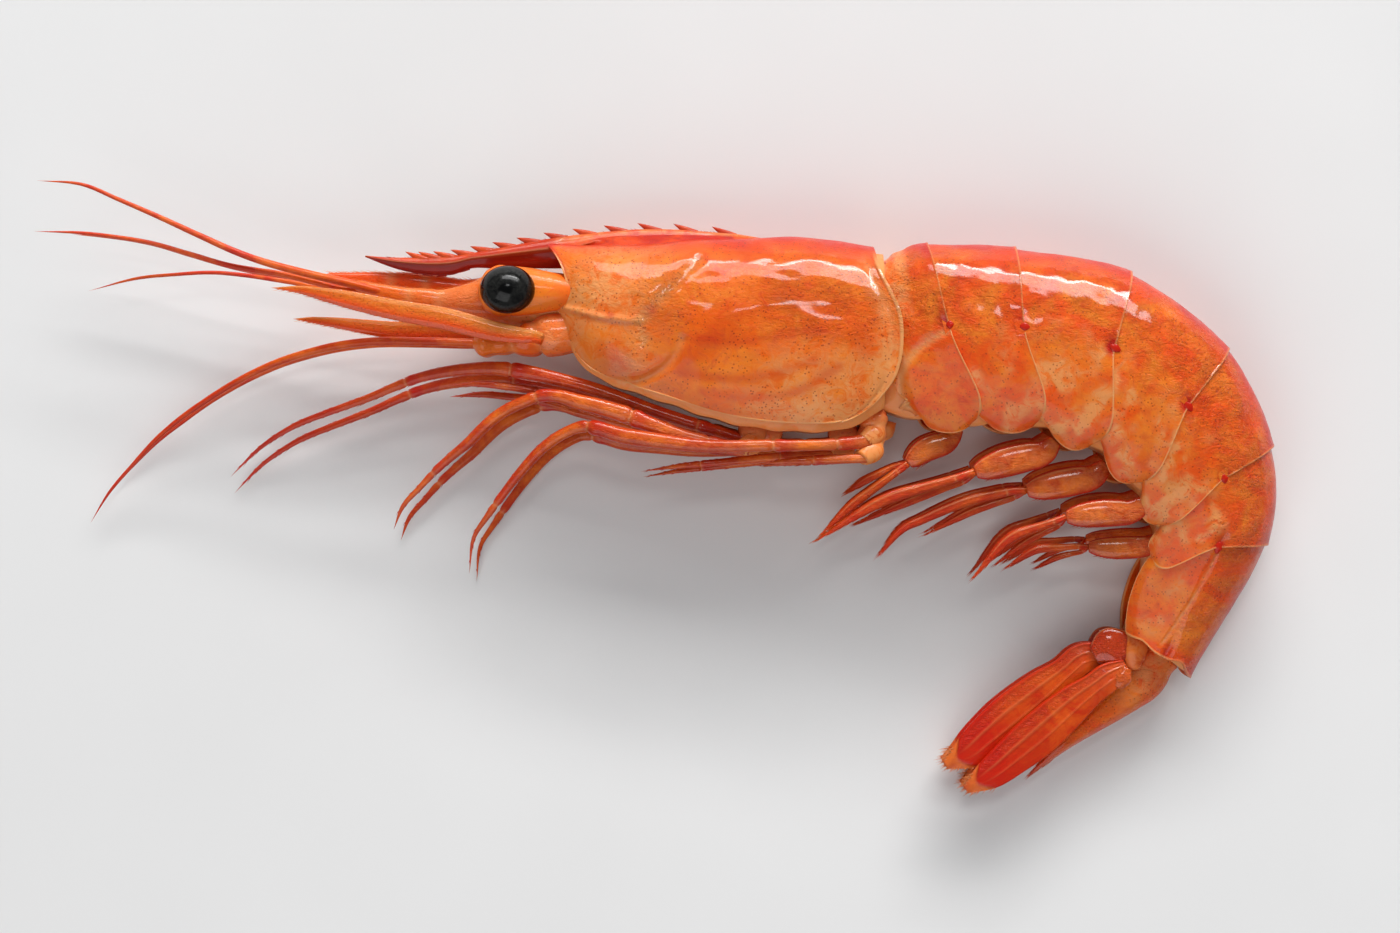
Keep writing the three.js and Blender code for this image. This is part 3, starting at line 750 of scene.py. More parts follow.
def make_head_shell():
    """The head shell, with its rims, its grooves and the marks of the gills under it."""
    look = settings().shell
    u, around = sheet_places(SHELL_ROWS, SHELL_COLUMNS)
    w = np.abs(around)
    t = around * SHELL_EDGE + 1e-6
    x = shell_places(u, w)
    base = shell_at(x, t)
    axis = base.copy()
    axis[..., 1] = SHELL[:, 1].mean()
    axis[..., 2] = MID
    normals = grid_normals(base, axis)
    along = (x - SHELL[0, 0]) / (SHELL[-1, 0] - SHELL[0, 0])
    side = ease(w, 0.12, 0.3)
    rear_rim = ease(u, 0.986, 0.993) * side
    front_rim = ease(-u, -0.012, -0.005) * ease(w, 0.3, 0.4)
    rim = np.maximum.reduce([rear_rim, front_rim, ease(w, 0.985, 0.993) * ease(u, 0.03, 0.1)])
    step = bump_at(u, 0.965, 0.012) * side
    ridge, neck = near_line(base, CHEEK_RIDGE, 0.3), near_line(base, NECK_GROOVE, 0.5)
    lobe = near_line(base, LOBE_GROOVE, 0.4)
    arc = near_line(base, GILL_ARC, 1.5)
    veins = np.maximum.reduce([near_line(base, route, 0.55) for route in GILL_VEINS])
    swell = 0.2 * grain_at(base, 6 * MM, 3) + 0.07 * grain_at(base, 2.2 * MM, 9)
    fold = 0.07 * grain_at(base * [0.4, 1.5, 1], 0.9 * MM, 5) * bump_at(w, 0.42, 0.16)
    lift = 0.12 + 0.07 * rim + swell * (1 - rim) + fold + 0.18 * ridge - 0.3 * neck - 0.32 * lobe
    lift = lift - 0.1 * step + 0.12 * arc
    outer = on_floor(base + normals * lift[..., None] * MM)
    inner = on_floor(outer - normals * look.thickness, INNER_CLEARANCE)
    patch = mottle(base, 3.2 * MM, 30)
    back = fall(w, 0.03, 0.3)
    red = back * (0.65 + 0.6 * patch - 0.15 * ease(along, 0.55, 1))
    red = red + 0.5 * patch * fall(w, 0.25, 0.55) * ease(along, 0.25, 0.5)
    red = red + 0.6 * arc * patch + 0.4 * veins + 0.9 * near_spot(base, -4.4, 16.8, 0.32)
    red = red + 0.4 * near_spot(base, -3.8, 12.4, 2.0) * (0.5 + patch)
    red = red + 0.55 * near_spot(base, -0.4, 17.3, 0.8) + 0.9 * ease(-u, -0.03, 0) * fall(w, 0.4, 0.6)
    under = ease(w, 0.5, 0.85)
    milk = 0.95 * under * ease(along, 0.35, 0.8) * (0.4 + 1.1 * patch)
    milk = milk + 0.6 * bump_at(along, 0.18, 0.16) * (1 - side * 0.3)
    milk = milk + 0.5 * near_spot(base, -5.2, 19.6, 2.6) * (0.5 + patch)
    milk = milk + 0.3 * near_spot(base, -3.0, 11.8, 2.0) + 0.5 * neck
    milk = milk + 0.5 * bump_at(u, 0.955, 0.03) * side
    milk = milk + 0.5 * bump_at(along, 0.02, 0.07) * ease(w, 0.3, 0.5)
    pale = np.maximum.reduce([rim, 0.45 * ridge, 0.3 * lobe, 0.25 * step])
    wet = bump_at(w, 0.42, 0.17) * (0.3 + 0.7 * ease(along, 0.5, 0.75))
    wet = wet + 0.4 * near_spot(base, 1.2, 18.5, 3.0)
    wet = wet * (0.75 + 0.5 * grain_at(base, 1.8 * MM, 50)) + 0.5 * neck + 0.4 * ridge
    wet = wet + 0.4 * near_spot(base, -3.0, 12.5, 1.6)
    shape = Shape()
    shape.add_shell(outer, inner, red=red, pale=pale, milk=milk, wet=wet)
    material = shell_look("head_surface", look.amber, dots=1.0, wrinkle=0.05, glow=0.2)
    shape.piece("head_shell", material, ["carapace"])


# ---- Crest and beak ----

CREST_ROWS = 170  # rings along the crest
CREST_HAIRS = 70  # fine hairs between its teeth
CREST_END = 12.5  # how far back the crest runs, in millimetres of X
BEAK_LEVEL = (-19.0, 21.75)  # behind this X the beak's lower edge runs level, at this Y
FRONT_JOINT = -8.0  # in front of this X the beak reaches down inside the shell
CREST_FOOT = 0.5  # how deep the crest is sunk in the shell
TOOTH_FOOT = 1.75  # how far a tooth's root lies behind the frame's tooth, in millimetres
TOOTH_DEPTH = 0.42  # how deep the root is sunk in the crest
# Half of a ring of the crest, from its top down: the level, the half width in front of the
# shell and above it, and the share of the pale rib along its side.
CREST_RING = [(0, 0.1, 0.1, 0), (0.05, 0.42, 0.4, 0), (0.16, 0.55, 0.55, 0), (0.26, 0.7, 0.62, 0),
              (0.32, 1.0, 0.7, 0.3), (0.36, 1.35, 0.78, 1), (0.4, 1.0, 0.88, 0.3), (0.5, 0.85, 1.05, 0),
              (0.7, 0.8, 1.5, 0), (0.9, 0.5, 2.2, 0), (0.98, 0.25, 2.7, 0), (1, 0.05, 0.05, 0)]
BEAK_THORNS = [(-24.9, 21.5), (-23.5, 21.1), (-22.1, 20.9), (-19.8, 21.3)]  # under the beak


def add_thorn(shape, root, tip, width, thick, lift=0.0, **marks):
    """A curved spine from its root to its point."""
    root, tip = np.asarray(root, float), np.asarray(tip, float)
    middle = root * 0.45 + tip * 0.55 + np.array([0, lift, 0])
    rail = Rail([root, middle, tip], [width, width * 0.62, 0.02 * MM], [thick, thick * 0.6, 0.02 * MM])
    add_tube(shape, rail, sides=9, rows=9, **marks)


def make_crest():
    """The thin toothed blade that stands on the shell and runs out into the beak."""
    rows = [[BEAK_TIP[0], BEAK_TIP[1] + 0.05 * MM, BEAK_TIP[1] - 0.1 * MM, 0.05 * MM]]
    for x, middle, depth, half, top, _ in BEAK:
        bottom = middle - depth if x < BEAK_LEVEL[0] * MM else BEAK_LEVEL[1] * MM
        rows.append([x, top, bottom, half])
    for x, middle, depth, half, top, _ in SHELL:
        if x < CREST_END * MM and top > middle + depth + 0.05 * MM:
            foot = middle + depth - CREST_FOOT * MM if x > FRONT_JOINT * MM else BEAK_LEVEL[1] * MM
            rows.append([x, top, foot, 0.75 * MM])
    rows = np.array(sorted(rows))
    peaks = [i for i in range(1, len(rows)) if rows[i, 1] - rows[i - 1, 1] > 0.25 * MM]
    low = np.array([row for i, row in enumerate(rows) if i not in peaks])
    x = np.linspace(low[0, 0], low[-1, 0], CREST_ROWS)
    top, bottom, half = smooth(low[:, 0], low[:, 1:], x).T
    front = ease(-x, 9 * MM, 11 * MM)
    levels, widths, tent, ribs = np.array(CREST_RING).T
    turn = slice(-2, 0, -1)
    ring_levels = np.concatenate([levels, levels[turn]])
    ring_widths = np.concatenate([widths, -widths[turn]])
    ring_tent = np.concatenate([tent, -tent[turn]])
    ring_ribs = np.concatenate([ribs, ribs[turn]])
    taper = ease(x, BEAK_TIP[0] - 0.3 * MM, BEAK_TIP[0] + 3 * MM) ** 0.7
    fade = ease(x, x[-1] - 5 * MM, x[-1])
    taper = taper * (1 - 0.75 * fade)
    top = top - 0.3 * MM * fade
    y = top[:, None] + (bottom - top)[:, None] * ring_levels
    spread = ease(x, FRONT_JOINT * MM, FRONT_JOINT * MM + 3 * MM)[:, None]
    z = MID + (half * 1.25 * taper)[:, None] * (ring_widths * (1 - spread) + ring_tent * spread)
    grid = np.stack([np.broadcast_to(x[:, None], y.shape), y, z], axis=-1)
    upper = ease(-ring_levels, -0.34, -0.2)
    pink = 0.3 * upper * (1 - front[:, None]) + 0.1 * upper
    shape = Shape()
    red = front[:, None] * (1.0 - 0.7 * upper) + (1 - front[:, None]) * (0.25 - 0.2 * upper)
    pale = np.maximum(0.5 * ring_ribs * (1 - spread), pink * 0.3)
    shape.add_grid(grid, wrap=True, tip=grid[-1].mean(axis=0), red=red, pale=pale, milk=pink)
    for place, height in rows[peaks, :2]:
        heel = place + TOOTH_FOOT * MM
        root = (heel, np.interp(heel, x, top) - TOOTH_DEPTH * MM, MID)
        peak = max(height + 0.05 * MM, np.interp(place, x, top) + 0.4 * MM)
        tip = (place - 0.55 * MM, peak, MID)
        add_thorn(shape, root, tip, 0.52 * MM, 0.3 * MM, lift=-0.02 * MM, red=0.35, pale=0.1)
    for place, height in mm(*BEAK_THORNS):
        heel = place + 1.1 * MM
        root = (heel, np.interp(heel, x, bottom) + 0.12 * MM, MID)
        add_thorn(shape, root, (place, height, MID), 0.2 * MM, 0.2 * MM, red=0.7)
    rng = random.Random(11)
    for _ in range(CREST_HAIRS):
        place = rng.uniform(x[8], x[-16])
        side = rng.choice((-1, 1)) * 0.08
        root = (place, np.interp(place, x, top) - 0.05 * MM, MID + side * MM)
        shape.add_hair(root, (-1, 0.55, side), rng.uniform(0.25, 0.45) * MM, 0.03 * MM, red=0.9)
    shape.piece("crest_and_beak", crest_look(), ["carapace"])


# ---- Eyes ----

EYE_SHAPE = [1.03, 0.9, 0.94]  # the eye's stretch along each axis
EYE_PUPIL = (0.2, 0.32)  # angles from the eye's pole where black turns grey
EYE_RIM = (0.95, 1.2)  # and where grey turns black again
# The stalk's stations behind the eye's middle: how far, half width and half thickness, in
# millimetres.
EYE_STALK = [(7.2, 1.1, 1.2), (5.2, 1.75, 1.5), (2.9, 2.2, 1.65), (0.4, 2.5, 1.6),
             (-1.6, 2.35, 1.5), (-2.6, 1.4, 1.0), (-3.0, 0.3, 0.3)]


def make_eyes():
    """The eyes and the stalks that they stand on."""
    dark = eye_finish()
    for hand, sign in HANDS.items():
        low, high = (np.array(corner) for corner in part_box(f"eye_{hand}"))
        centre, radius = (low + high) / 2, (high[0] - low[0]) / 2
        turns = np.linspace(0, 2 * math.pi, 64, endpoint=False)
        falls = np.linspace(0.02, math.pi - 0.02, 48)[:, None]
        rings = np.stack([np.sin(falls) * np.cos(turns), np.sin(falls) * np.sin(turns),
                          sign * np.cos(falls) * np.ones_like(turns)], axis=-1)
        away = np.arccos(np.clip(rings @ unit(np.array([-0.02, -0.02, sign])), -1, 1))
        shape = Shape()
        black = fall(away, *EYE_PUPIL) + ease(away, *EYE_RIM)
        shape.add_grid(centre + radius * rings * EYE_SHAPE, wrap=True, red=black)
        shape.piece(f"eye_ball_{hand}", dark, [f"eye_{hand}"])
        stalk = Shape()
        deep = mm(0, 0, -1.35 * sign)
        reach, widths, thicks = np.array(EYE_STALK).T * MM
        spots = [centre + deep + np.array([step, -0.02 * step - 0.1 * MM, 0]) for step in reach]
        add_tube(stalk, Rail(spots, widths, thicks), sides=36, rows=48, milk=0.1,
                 red=lambda s, a: 0.5 * sides_mark(a, 0.12) + 0.6 * ease(-s, -0.35, 0))
        rng = random.Random(17)
        for _ in range(26):
            root = centre + mm(rng.uniform(2.6, 5.0), rng.uniform(-1.6, 1.9), 0)
            root[2] = MID + sign * rng.uniform(2.4, 3.0) * MM
            way = (0.5, rng.uniform(-0.6, 0.8), 0.7 * sign)
            stalk.add_hair(root, way, 0.5 * MM, 0.035 * MM, pale=0.6)
        stalk.piece(f"eye_stalk_{hand}", face_look(), [f"eyestalk_{hand}"])


# ---- Limbs ----

def add_tube(shape, rail, sides=12, rows=40, joints=(), swell=0.1, ribs=0.0, **marks):
    """A limb around a rail. Each joint is a pinch between two slightly swollen ends, and is
    marked pale. Marks are numbers or functions of the place along and the angle round."""
    near = rail.widths.max() * 0.55 / rail.length
    places = [np.linspace(0, 1, rows + 1)[:-1]] + [j + np.linspace(-3, 3, 13) * near for j in joints]
    s = np.unique(np.clip(np.concatenate(places), 0, 0.995))
    spots, _, side, up, widths, thicks = rail.frames(s)
    factor = np.ones_like(s)
    joint_mark, joint_red = np.zeros_like(s), np.zeros_like(s)
    for joint in joints:
        factor += swell * bump_at(s, joint - 1.5 * near, 1.3 * near)
        factor += 0.6 * swell * bump_at(s, joint + 1.4 * near, near)
        factor -= 1.9 * swell * bump_at(s, joint, 0.4 * near)
        joint_mark = np.maximum(joint_mark, bump_at(s, joint, 0.35 * near))
        joint_red = np.maximum(joint_red, bump_at(s, joint - 2.2 * near, 2.2 * near))
    angles = np.linspace(0, 2 * math.pi, sides, endpoint=False)
    rib = 1 + ribs * np.cos(angles * 6)
    across = side[:, None, :] * (np.cos(angles)[None, :] * (widths * factor)[:, None])[..., None]
    raised = up[:, None, :] * (np.sin(angles) * rib * (thicks * factor)[:, None])[..., None]
    grid = on_floor(spots[:, None, :] + across + raised)
    made = {}
    for mark in MARKS:
        value = marks.get(mark, 0.0)
        value = value(s[:, None], angles[None, :]) if callable(value) else value
        made[mark] = np.broadcast_to(value, grid.shape[:2])
    made["pale"] = np.maximum(made["pale"], 0.45 * joint_mark[:, None])
    made["red"] = made["red"] + 0.45 * joint_red[:, None]
    shape.add_grid(grid, wrap=True, tip=rail.spots[-1], **made)


def add_fringe(shape, rail, start, end, count, length, lean=0.5, edges=(-1, 1), seed=0, **marks):
    """Bristles along the edges of a limb, leaning towards its tip."""
    rng = random.Random(seed)
    thin = settings().limbs.bristle
    for edge in edges:
        for i in range(count):
            s = np.array([start + (end - start) * (i + rng.random()) / count])
            spots, along, side, up, widths, _ = rail.frames(s)
            root = spots[0] + edge * side[0] * widths[0] * 0.92
            way = along[0] * (lean + 0.25 * rng.random()) + edge * side[0] * (1 - lean)
            way = way + up[0] * rng.uniform(-0.12, 0.12)
            shape.add_hair(root, way, length * rng.uniform(0.7, 1.15), thin,
                           bend=along[0] * 0.25, **marks)


def limb_piece(node, look, slot, rail, **tube):
    """The piece of a limb that is one bare tube."""
    shape = Shape()
    add_tube(shape, rail, **tube)
    shape.piece(node + "_skin", look, [node])


def make_whips():
    """The long thin whips of both pairs of feelers."""
    roots = {"left_1": "antennule_left", "left_2": "antennule_left",
             "right_1": "antennule_right", "right_2": "antennule_right"}
    for name, base in roots.items():
        node = f"antennule_whip_{name}"
        spots = limb_rail(base).spots
        rail = limb_rail(node).reversed_to(spots[-4])
        limb_piece(node, whip_look(), "whips", rail, sides=10, rows=120, red=0.4)
    for hand in HANDS:
        node = f"feeler_{hand}"
        rail = limb_rail(node).reversed_to(limb_rail(f"feeler_base_{hand}").spots[-2])
        limb_piece(node, limb_look(), "whips", rail, sides=12, rows=150,
                   red=lambda s, a: 0.35 + 0.5 * ease(s, 0.3, 1))


# Where along each leg its joints lie, from root to tip.
LEG_JOINTS = {1: (0.12, 0.42, 0.72), 2: (0.1, 0.29, 0.52, 0.83), 3: (0.07, 0.2, 0.58, 0.84),
              4: (0.3, 0.7), 5: (0.5,)}


def leg_red(s, a):
    """Red along both edges and over the tip of a leg."""
    return 0.2 + 0.4 * sides_mark(a, 0.3) + 0.25 * ease(s, 0.75, 1)


def make_legs():
    """Five pairs of walking legs, and the jaw legs in front of them."""
    for hand, sign in HANDS.items():
        for number, joints in LEG_JOINTS.items():
            node = f"leg_{hand}_{number}"
            rail = limb_rail(node)
            rail.widths *= 0.9
            shape = Shape()
            add_tube(shape, rail, sides=16, rows=80, joints=joints, swell=0.12, red=leg_red, wet=0.35,
                     milk=lambda s, a: 0.35 * fall(s, 0.1, 0.6))
            add_fringe(shape, rail, 0.25, 0.98, 14, 0.4 * MM, lean=0.8, seed=number, red=0.9)
            add_coxa(shape, rail, sign)
            shape.piece(node + "_skin", limb_look(), [node])
        node = f"jawleg_{hand}"
        rail = limb_rail(node)
        shape = Shape()
        add_tube(shape, rail, sides=16, rows=110, joints=(0.1, 0.44, 0.63), swell=0.1, wet=0.35,
                 red=lambda s, a: 0.45 + 0.45 * ease(s, 0.5, 1))
        add_fringe(shape, rail, 0.3, 0.97, 34, 0.6 * MM, lean=0.82, edges=(1,), seed=5, red=0.8)
        add_fringe(shape, rail, 0.45, 0.99, 18, 0.45 * MM, lean=0.85, edges=(-1,), seed=6, red=0.8)
        shape.piece(node + "_skin", limb_look(), [node])


def add_coxa(shape, rail, sign):
    """The short pale segments that join a leg to the breast."""
    root = rail.spots[0]
    inner = np.array([root[0] + 0.5 * MM, root[1] + 2.9 * MM, MID + sign * 2.4 * MM])
    widths = mm(1.2, 1.35, 1.15, 0.8)
    knee = inner * 0.4 + root * 0.6 + mm(0.35, -0.2, 0)
    spots = [inner, inner * 0.75 + root * 0.25, knee, root + (rail.spots[1] - root) * 0.3]
    stump = Rail(spots, widths, widths * 0.75)
    add_tube(shape, stump, sides=18, rows=26, joints=(0.5,), swell=0.12, milk=1.3)


# The hollow segment of a small feeler on which the eye rests: x, y and half width of its
# stations, in millimetres. In front of the last one it follows the frame.
EYE_BOWL = [(-8.6, 18.1, 2.1), (-10.6, 18.5, 2.65), (-12.8, 18.85, 2.92), (-15.1, 18.95, 2.82),
            (-18.1, 18.55, 1.8), (-21.4, 18.5, 1.1)]
BOWL_SIDE = 1.2  # how far the bowl lies to the side of the middle, in millimetres


def bowl_rail(rail, sign):
    """A small feeler's rail with the bowl under the eye as its first part."""
    bowl = np.array(EYE_BOWL) * MM
    if sign < 0:
        bowl = bowl[:4]
    kept = rail.spots[:, 0] < bowl[-1, 0] - 2.2 * MM
    side = np.full(len(bowl), MID + sign * BOWL_SIDE * MM)
    spots = np.vstack([np.column_stack([bowl[:, :2], side]), rail.spots[kept]])
    widths = np.concatenate([bowl[:, 2], rail.widths[kept]])
    thicks = np.concatenate([bowl[:, 2] * 0.62, rail.thicks[kept]])
    return Rail(spots, widths, thicks)


def make_face():
    """The head between the shell and the feelers, with the bases of both pairs."""
    face = face_look()
    rail = limb_rail("head")
    rail = rail.reversed_to(rail.spots[0] + mm(3.0, -1.0, 0))
    rail.widths *= 1.35
    rail.thicks = np.maximum(rail.thicks, 2.2 * MM)
    limb_piece("head", face, "flesh", rail, sides=28, rows=50, joints=(0.55,), swell=0.05,
               milk=0.6, wet=0.25)
    for hand, sign in HANDS.items():
        node = f"antennule_{hand}"
        rail = limb_rail(node)
        shape = Shape()
        redness = 0.1 if hand == "left" else 0.9
        base = bowl_rail(rail, sign)
        add_tube(shape, base, sides=28, rows=90, joints=(0.58, 0.72), swell=0.03,
                 milk=lambda s, a: 1.1 * fall(s, 0.5, 0.8),
                 red=lambda s, a, r=redness: r * ease(s, 0.3, 0.5) + 0.35 * ease(s, 0.55, 0.9),
                 pale=lambda s, a: 0.6 * sides_mark(a, 0.02) * fall(s, 0.4, 0.6), wet=0.3)
        add_fringe(shape, base, 0.4, 0.97, 40, 0.75 * MM, lean=0.72, edges=(-1,), seed=21, red=0.6)
        add_fringe(shape, base, 0.5, 0.97, 12, 0.4 * MM, lean=0.85, edges=(1,), seed=22, red=0.6)
        shape.piece(node + "_skin", face, [node])
        node = f"feeler_base_{hand}"
        rail = limb_rail(node)
        base = rail.reversed_to(rail.spots[0] + mm(2.2, 0.3, 0))
        limb_piece(node, face, "limbs", base, sides=22, rows=60, joints=(0.38, 0.62), swell=0.1,
                   milk=lambda s, a: 1.0 - 0.9 * ease(s, 0.3, 0.45),
                   red=lambda s, a: 0.25 * ease(s, 0.35, 0.6) + 0.25 * sides_mark(a, 0.15), wet=0.3)
        node = f"scale_{hand}"
        rail = limb_rail(node)
        rail.widths *= 0.88
        rail.thicks *= 0.65
        shape = Shape()
        stem = rail.reversed_to(rail.spots[0] + mm(0.6, -0.2, -0.5 * sign))
        add_tube(shape, stem, sides=28, rows=80, ribs=0.14, wet=0.5,
                 red=lambda s, a: 0.05 + 0.3 * ease(s, 0.5, 1) + 0.9 * ease(np.cos(a), -0.3, 0.5),
                 # pale: the stiff rib along the upper edge, paler in itself, with a painted highlight on it
                 pale=lambda s, a: 0.9 * bump_at(np.cos(a), -0.72, 0.12),
                 milk=lambda s, a: 0.5 * fall(s, 0, 0.6))
        add_fringe(shape, rail, 0.2, 0.97, 50, 0.6 * MM, lean=0.75, edges=(1,), seed=31, red=0.4)
        shape.piece(node + "_skin", face, [node])


# ---- Tail plates ----

PLATE_ROWS = 52  # from the front edge to the rear one
PLATE_COLUMNS = 181  # from one lobe over the back to the other
HINGE = 0.51  # where the hinges lie, as a share of the way from the back to the lower edge
# Lines drawn on the last plate and round the lobe of the first, as x and y places in millimetres.
LAST_LINE = [(55.6, -6.8), (53.3, -11.4), (50.5, -15.8)]
FIRST_LOBE = [(28.9, 15.5), (26.2, 13.8), (24.7, 12.1), (24.1, 10.1), (24.4, 8.5), (25.6, 6.6)]


def make_plate(k):
    """One plate of the tail, wrapped over the back down to the lobes on both sides."""
    look = settings().shell
    u, around = sheet_places(PLATE_ROWS, PLATE_COLUMNS)
    w = np.abs(around)
    last = k == PLATES
    over = 0.03 * fall(w, 0.2, HINGE) + 0.2 * ease(w, HINGE, 0.8)
    front = (k - 1) - 0.12 + 0.06 * ease(w, HINGE, 0.7)
    if k == 1:
        front = -0.62 + 0.3 * ease(w, 0.5, 0.82)
    rear = k + (over if not last else 0.02 - 0.05 * bump_at(w, 0.35, 0.1) - 0.04 * ease(w, 0.6, 0.8))
    corner = np.sqrt(1 - (0.72 if not last else 0.15) * ease(w, 0.72, 1.0) ** 2)
    middle = (front + rear) / 2 + 0.06 * ease(w, 0.7, 1)
    s = middle + (rear - front) * corner * (u - 0.5)
    t = around * LOWER_EDGE + 1e-6
    sag = (LOBES[k - 1] + 0.35 * MM) * np.sin(math.pi * np.clip(u, 0, 1)) ** 0.7 * ease(w, 0.5, 1)
    base = tail_surface(s, t, sag)
    normals = grid_normals(base, tail_axis(s))
    edge = np.maximum(ease(u, 0.981, 0.99), ease(w, 0.987, 0.995))
    if k > 1:
        edge = np.maximum(edge, ease(-u, -0.03, -0.015) * ease(w, 0.72, 0.85))
    lobe_line = near_line(base, FIRST_LOBE, 0.3) * (k == 1)
    side_line = near_line(base, LAST_LINE, 0.12) * last
    swell = 0.1 * grain_at(base, 4 * MM, k) + 0.05 * grain_at(base, 1.5 * MM, 20 + k)
    fold = 0.05 * grain_at(base, 0.8 * MM, 40 + k) * bump_at(w, 0.36, 0.16)
    lift = 0.08 * MM + look.flare * u ** 3 + 0.12 * MM * ease(w, 0.7, 1)
    lift = lift + (0.04 * edge + swell + fold - 0.18 * lobe_line - 0.15 * side_line) * MM
    lift = lift - 0.25 * MM * bump_at(w, HINGE, 0.035) * ease(u, 0.75, 0.95)
    if k == 1:
        lift = lift - 0.5 * MM * fall(u, 0, 0.25)
    outer = on_floor(base + normals * lift[..., None])
    inner = on_floor(outer - normals * look.thickness, INNER_CLEARANCE)
    patch = mottle(base, 2.6 * MM, 60 + k)
    fine = mottle(base, 1.1 * MM, 80 + k)
    red = (0.55 + 0.75 * patch) * fall(w, 0.02, 0.27) + 0.35 * patch * fall(w, 0.2, 0.5)
    red = red + 0.25 * ease(u, 0.8, 0.97) * fall(w, 0.3, 0.6)
    red = red + 1.1 * bump_at(w, HINGE, 0.035) * ease(u, 0.84, 0.97) * (0.6 + fine)
    low = ease(w, 0.4, 0.7)
    depth = 1.0 if k in (3, 4, 5, 6) else 0.4
    milk = low * depth * (0.15 + 1.2 * ease(fine * patch, 0.15, 0.5)) + 0.3 * low * ease(patch, 0.5, 0.8)
    red = red + 0.4 * low * ease(-patch, -0.45, -0.2) * ease(-fine, -0.5, -0.3)
    if k == 1:
        red = red * (0.15 + 0.85 * ease(u, 0.5, 0.9))
        outside = ease(-base[..., 0], -0.0255, -0.0235) * ease(w, 0.5, 0.6)
        milk = milk * 0.35 + 0.8 * fall(u, 0.3, 0.6) * fall(w, 0.4, 0.6) + 0.9 * outside
    wet = bump_at(w, 0.34, 0.19) * (0.7 + 0.6 * grain_at(base, 1.6 * MM, 100 + k))
    shape = Shape()
    pale = np.maximum.reduce([edge * (0.5 + 0.4 * ease(w, 0.4, 0.6)), 0.9 * lobe_line, 0.7 * side_line])
    shape.add_shell(outer, inner, red=red, pale=pale, milk=milk, wet=wet)
    shape.piece(f"tail_plate_{k}", plate_look(), [f"abdomen_{k}"])


def make_hinges():
    """The small red knobs where the plates pivot on each other."""
    shape = Shape()
    for k in range(1, PLATES):
        for sign in HANDS.values():
            places = np.array([[k - 0.06, k + 0.0, k + 0.07]])
            spots = tail_surface(places, np.full((1, 3), sign * HINGE * LOWER_EDGE))[0]
            spots[:, 2] = np.maximum(spots[:, 2] + sign * 0.1 * MM, 0.2 * MM)
            rail = Rail(spots, mm(0.15, 0.42, 0.1), mm(0.05, 0.12, 0.05))
            add_tube(shape, rail, sides=14, rows=12, red=1.2)
    shape.piece("hinge_knobs", limb_look(), ["abdomen_1"])


def make_flesh():
    """The soft body under the plates, and the breast under the head shell."""
    shape = Shape()
    s, t = ring_places(-0.75, PLATES, 96, 48)
    skin = tail_surface(s, t)
    axis = tail_axis(s)
    shrink = 0.93 + 0.05 * ease(np.abs(t) / math.pi, 0.75, 0.95)
    skin = axis + (skin - axis) * shrink[..., None]
    ring = 0.22 * MM * np.cos(2 * math.pi * s)[..., None] * unit(skin - axis)
    shape.add_grid(on_floor(skin + ring, FLESH_CLEARANCE), wrap=True, milk=0.9, red=0.1)
    plates = [f"abdomen_{k}" for k in range(1, PLATES + 1)]
    shape.piece("tail_flesh", flesh_look(), plates)
    shape = Shape()
    x, t = ring_places(SHELL[0, 0] + 1.0 * MM, SHELL[-1, 0] - 1.2 * MM, 70, 64)
    body = shell_at(x, t)
    axis = np.stack([x, SHELL[0, 1] + 0 * x, MID + 0 * x], axis=-1)
    axis[..., 1] = smooth(SHELL[:, 0], SHELL[:, 1], x[:, 0])
    shrink = 0.93 + 0.045 * ease(np.abs(t) / math.pi, 0.7, 0.9)
    inside = axis + (body - axis) * shrink[..., None]
    waves = 0.1 * MM * np.cos(x / MM * 1.6) * ease(np.abs(t) / math.pi, 0.75, 0.9)
    folds = waves[..., None] * unit(body - axis)
    shape.add_grid(on_floor(inside + folds, FLESH_CLEARANCE), wrap=True, milk=1.0)
    rail = limb_rail("thorax")
    rail.widths = rail.widths * 1.2
    add_tube(shape, rail, sides=20, rows=60, joints=(0.25, 0.4, 0.55, 0.7, 0.85), swell=0.12, milk=1.0)
    shape.piece("breast_flesh", flesh_look(), ["thorax", "carapace"])


# ---- Swimmerets ----

def paddle_rail(number, rows):
    """The rail of a swimmeret's base, widened at its root and carried up under the plates."""
    paddle = rail_of(*rows)
    spots, widths, thicks = paddle.spots[::-1], paddle.widths[::-1], paddle.thicks[::-1]
    spots, widths, thicks = spots[1:], widths[1:], thicks[1:]
    wide = widths.max()
    heart = tail_axis(np.full((1,), number - 0.45))[0]
    up = unit(heart - spots[0]) * [1, 1, 0.2]
    away = unit(spots[0] - spots[1])
    root = spots[0] + (0.55 * up + away) * 1.9 * MM
    further = unit(spots[-1] - spots[-2])
    spots = np.vstack([root, spots[0] + 0.2 * away * MM, spots[1:], spots[-1] + further * 0.7 * MM])
    middle = Rail(spots, np.ones(len(spots)), np.ones(len(spots)))
    s = np.linspace(0, 1, 12)
    oval = np.sqrt(1 - ((s - 0.55) / np.where(s > 0.55, 0.49, 0.62)) ** 2)
    return Rail(middle.at(s)[0], wide * 1.16 * oval, thicks.max() * 0.85 * oval)


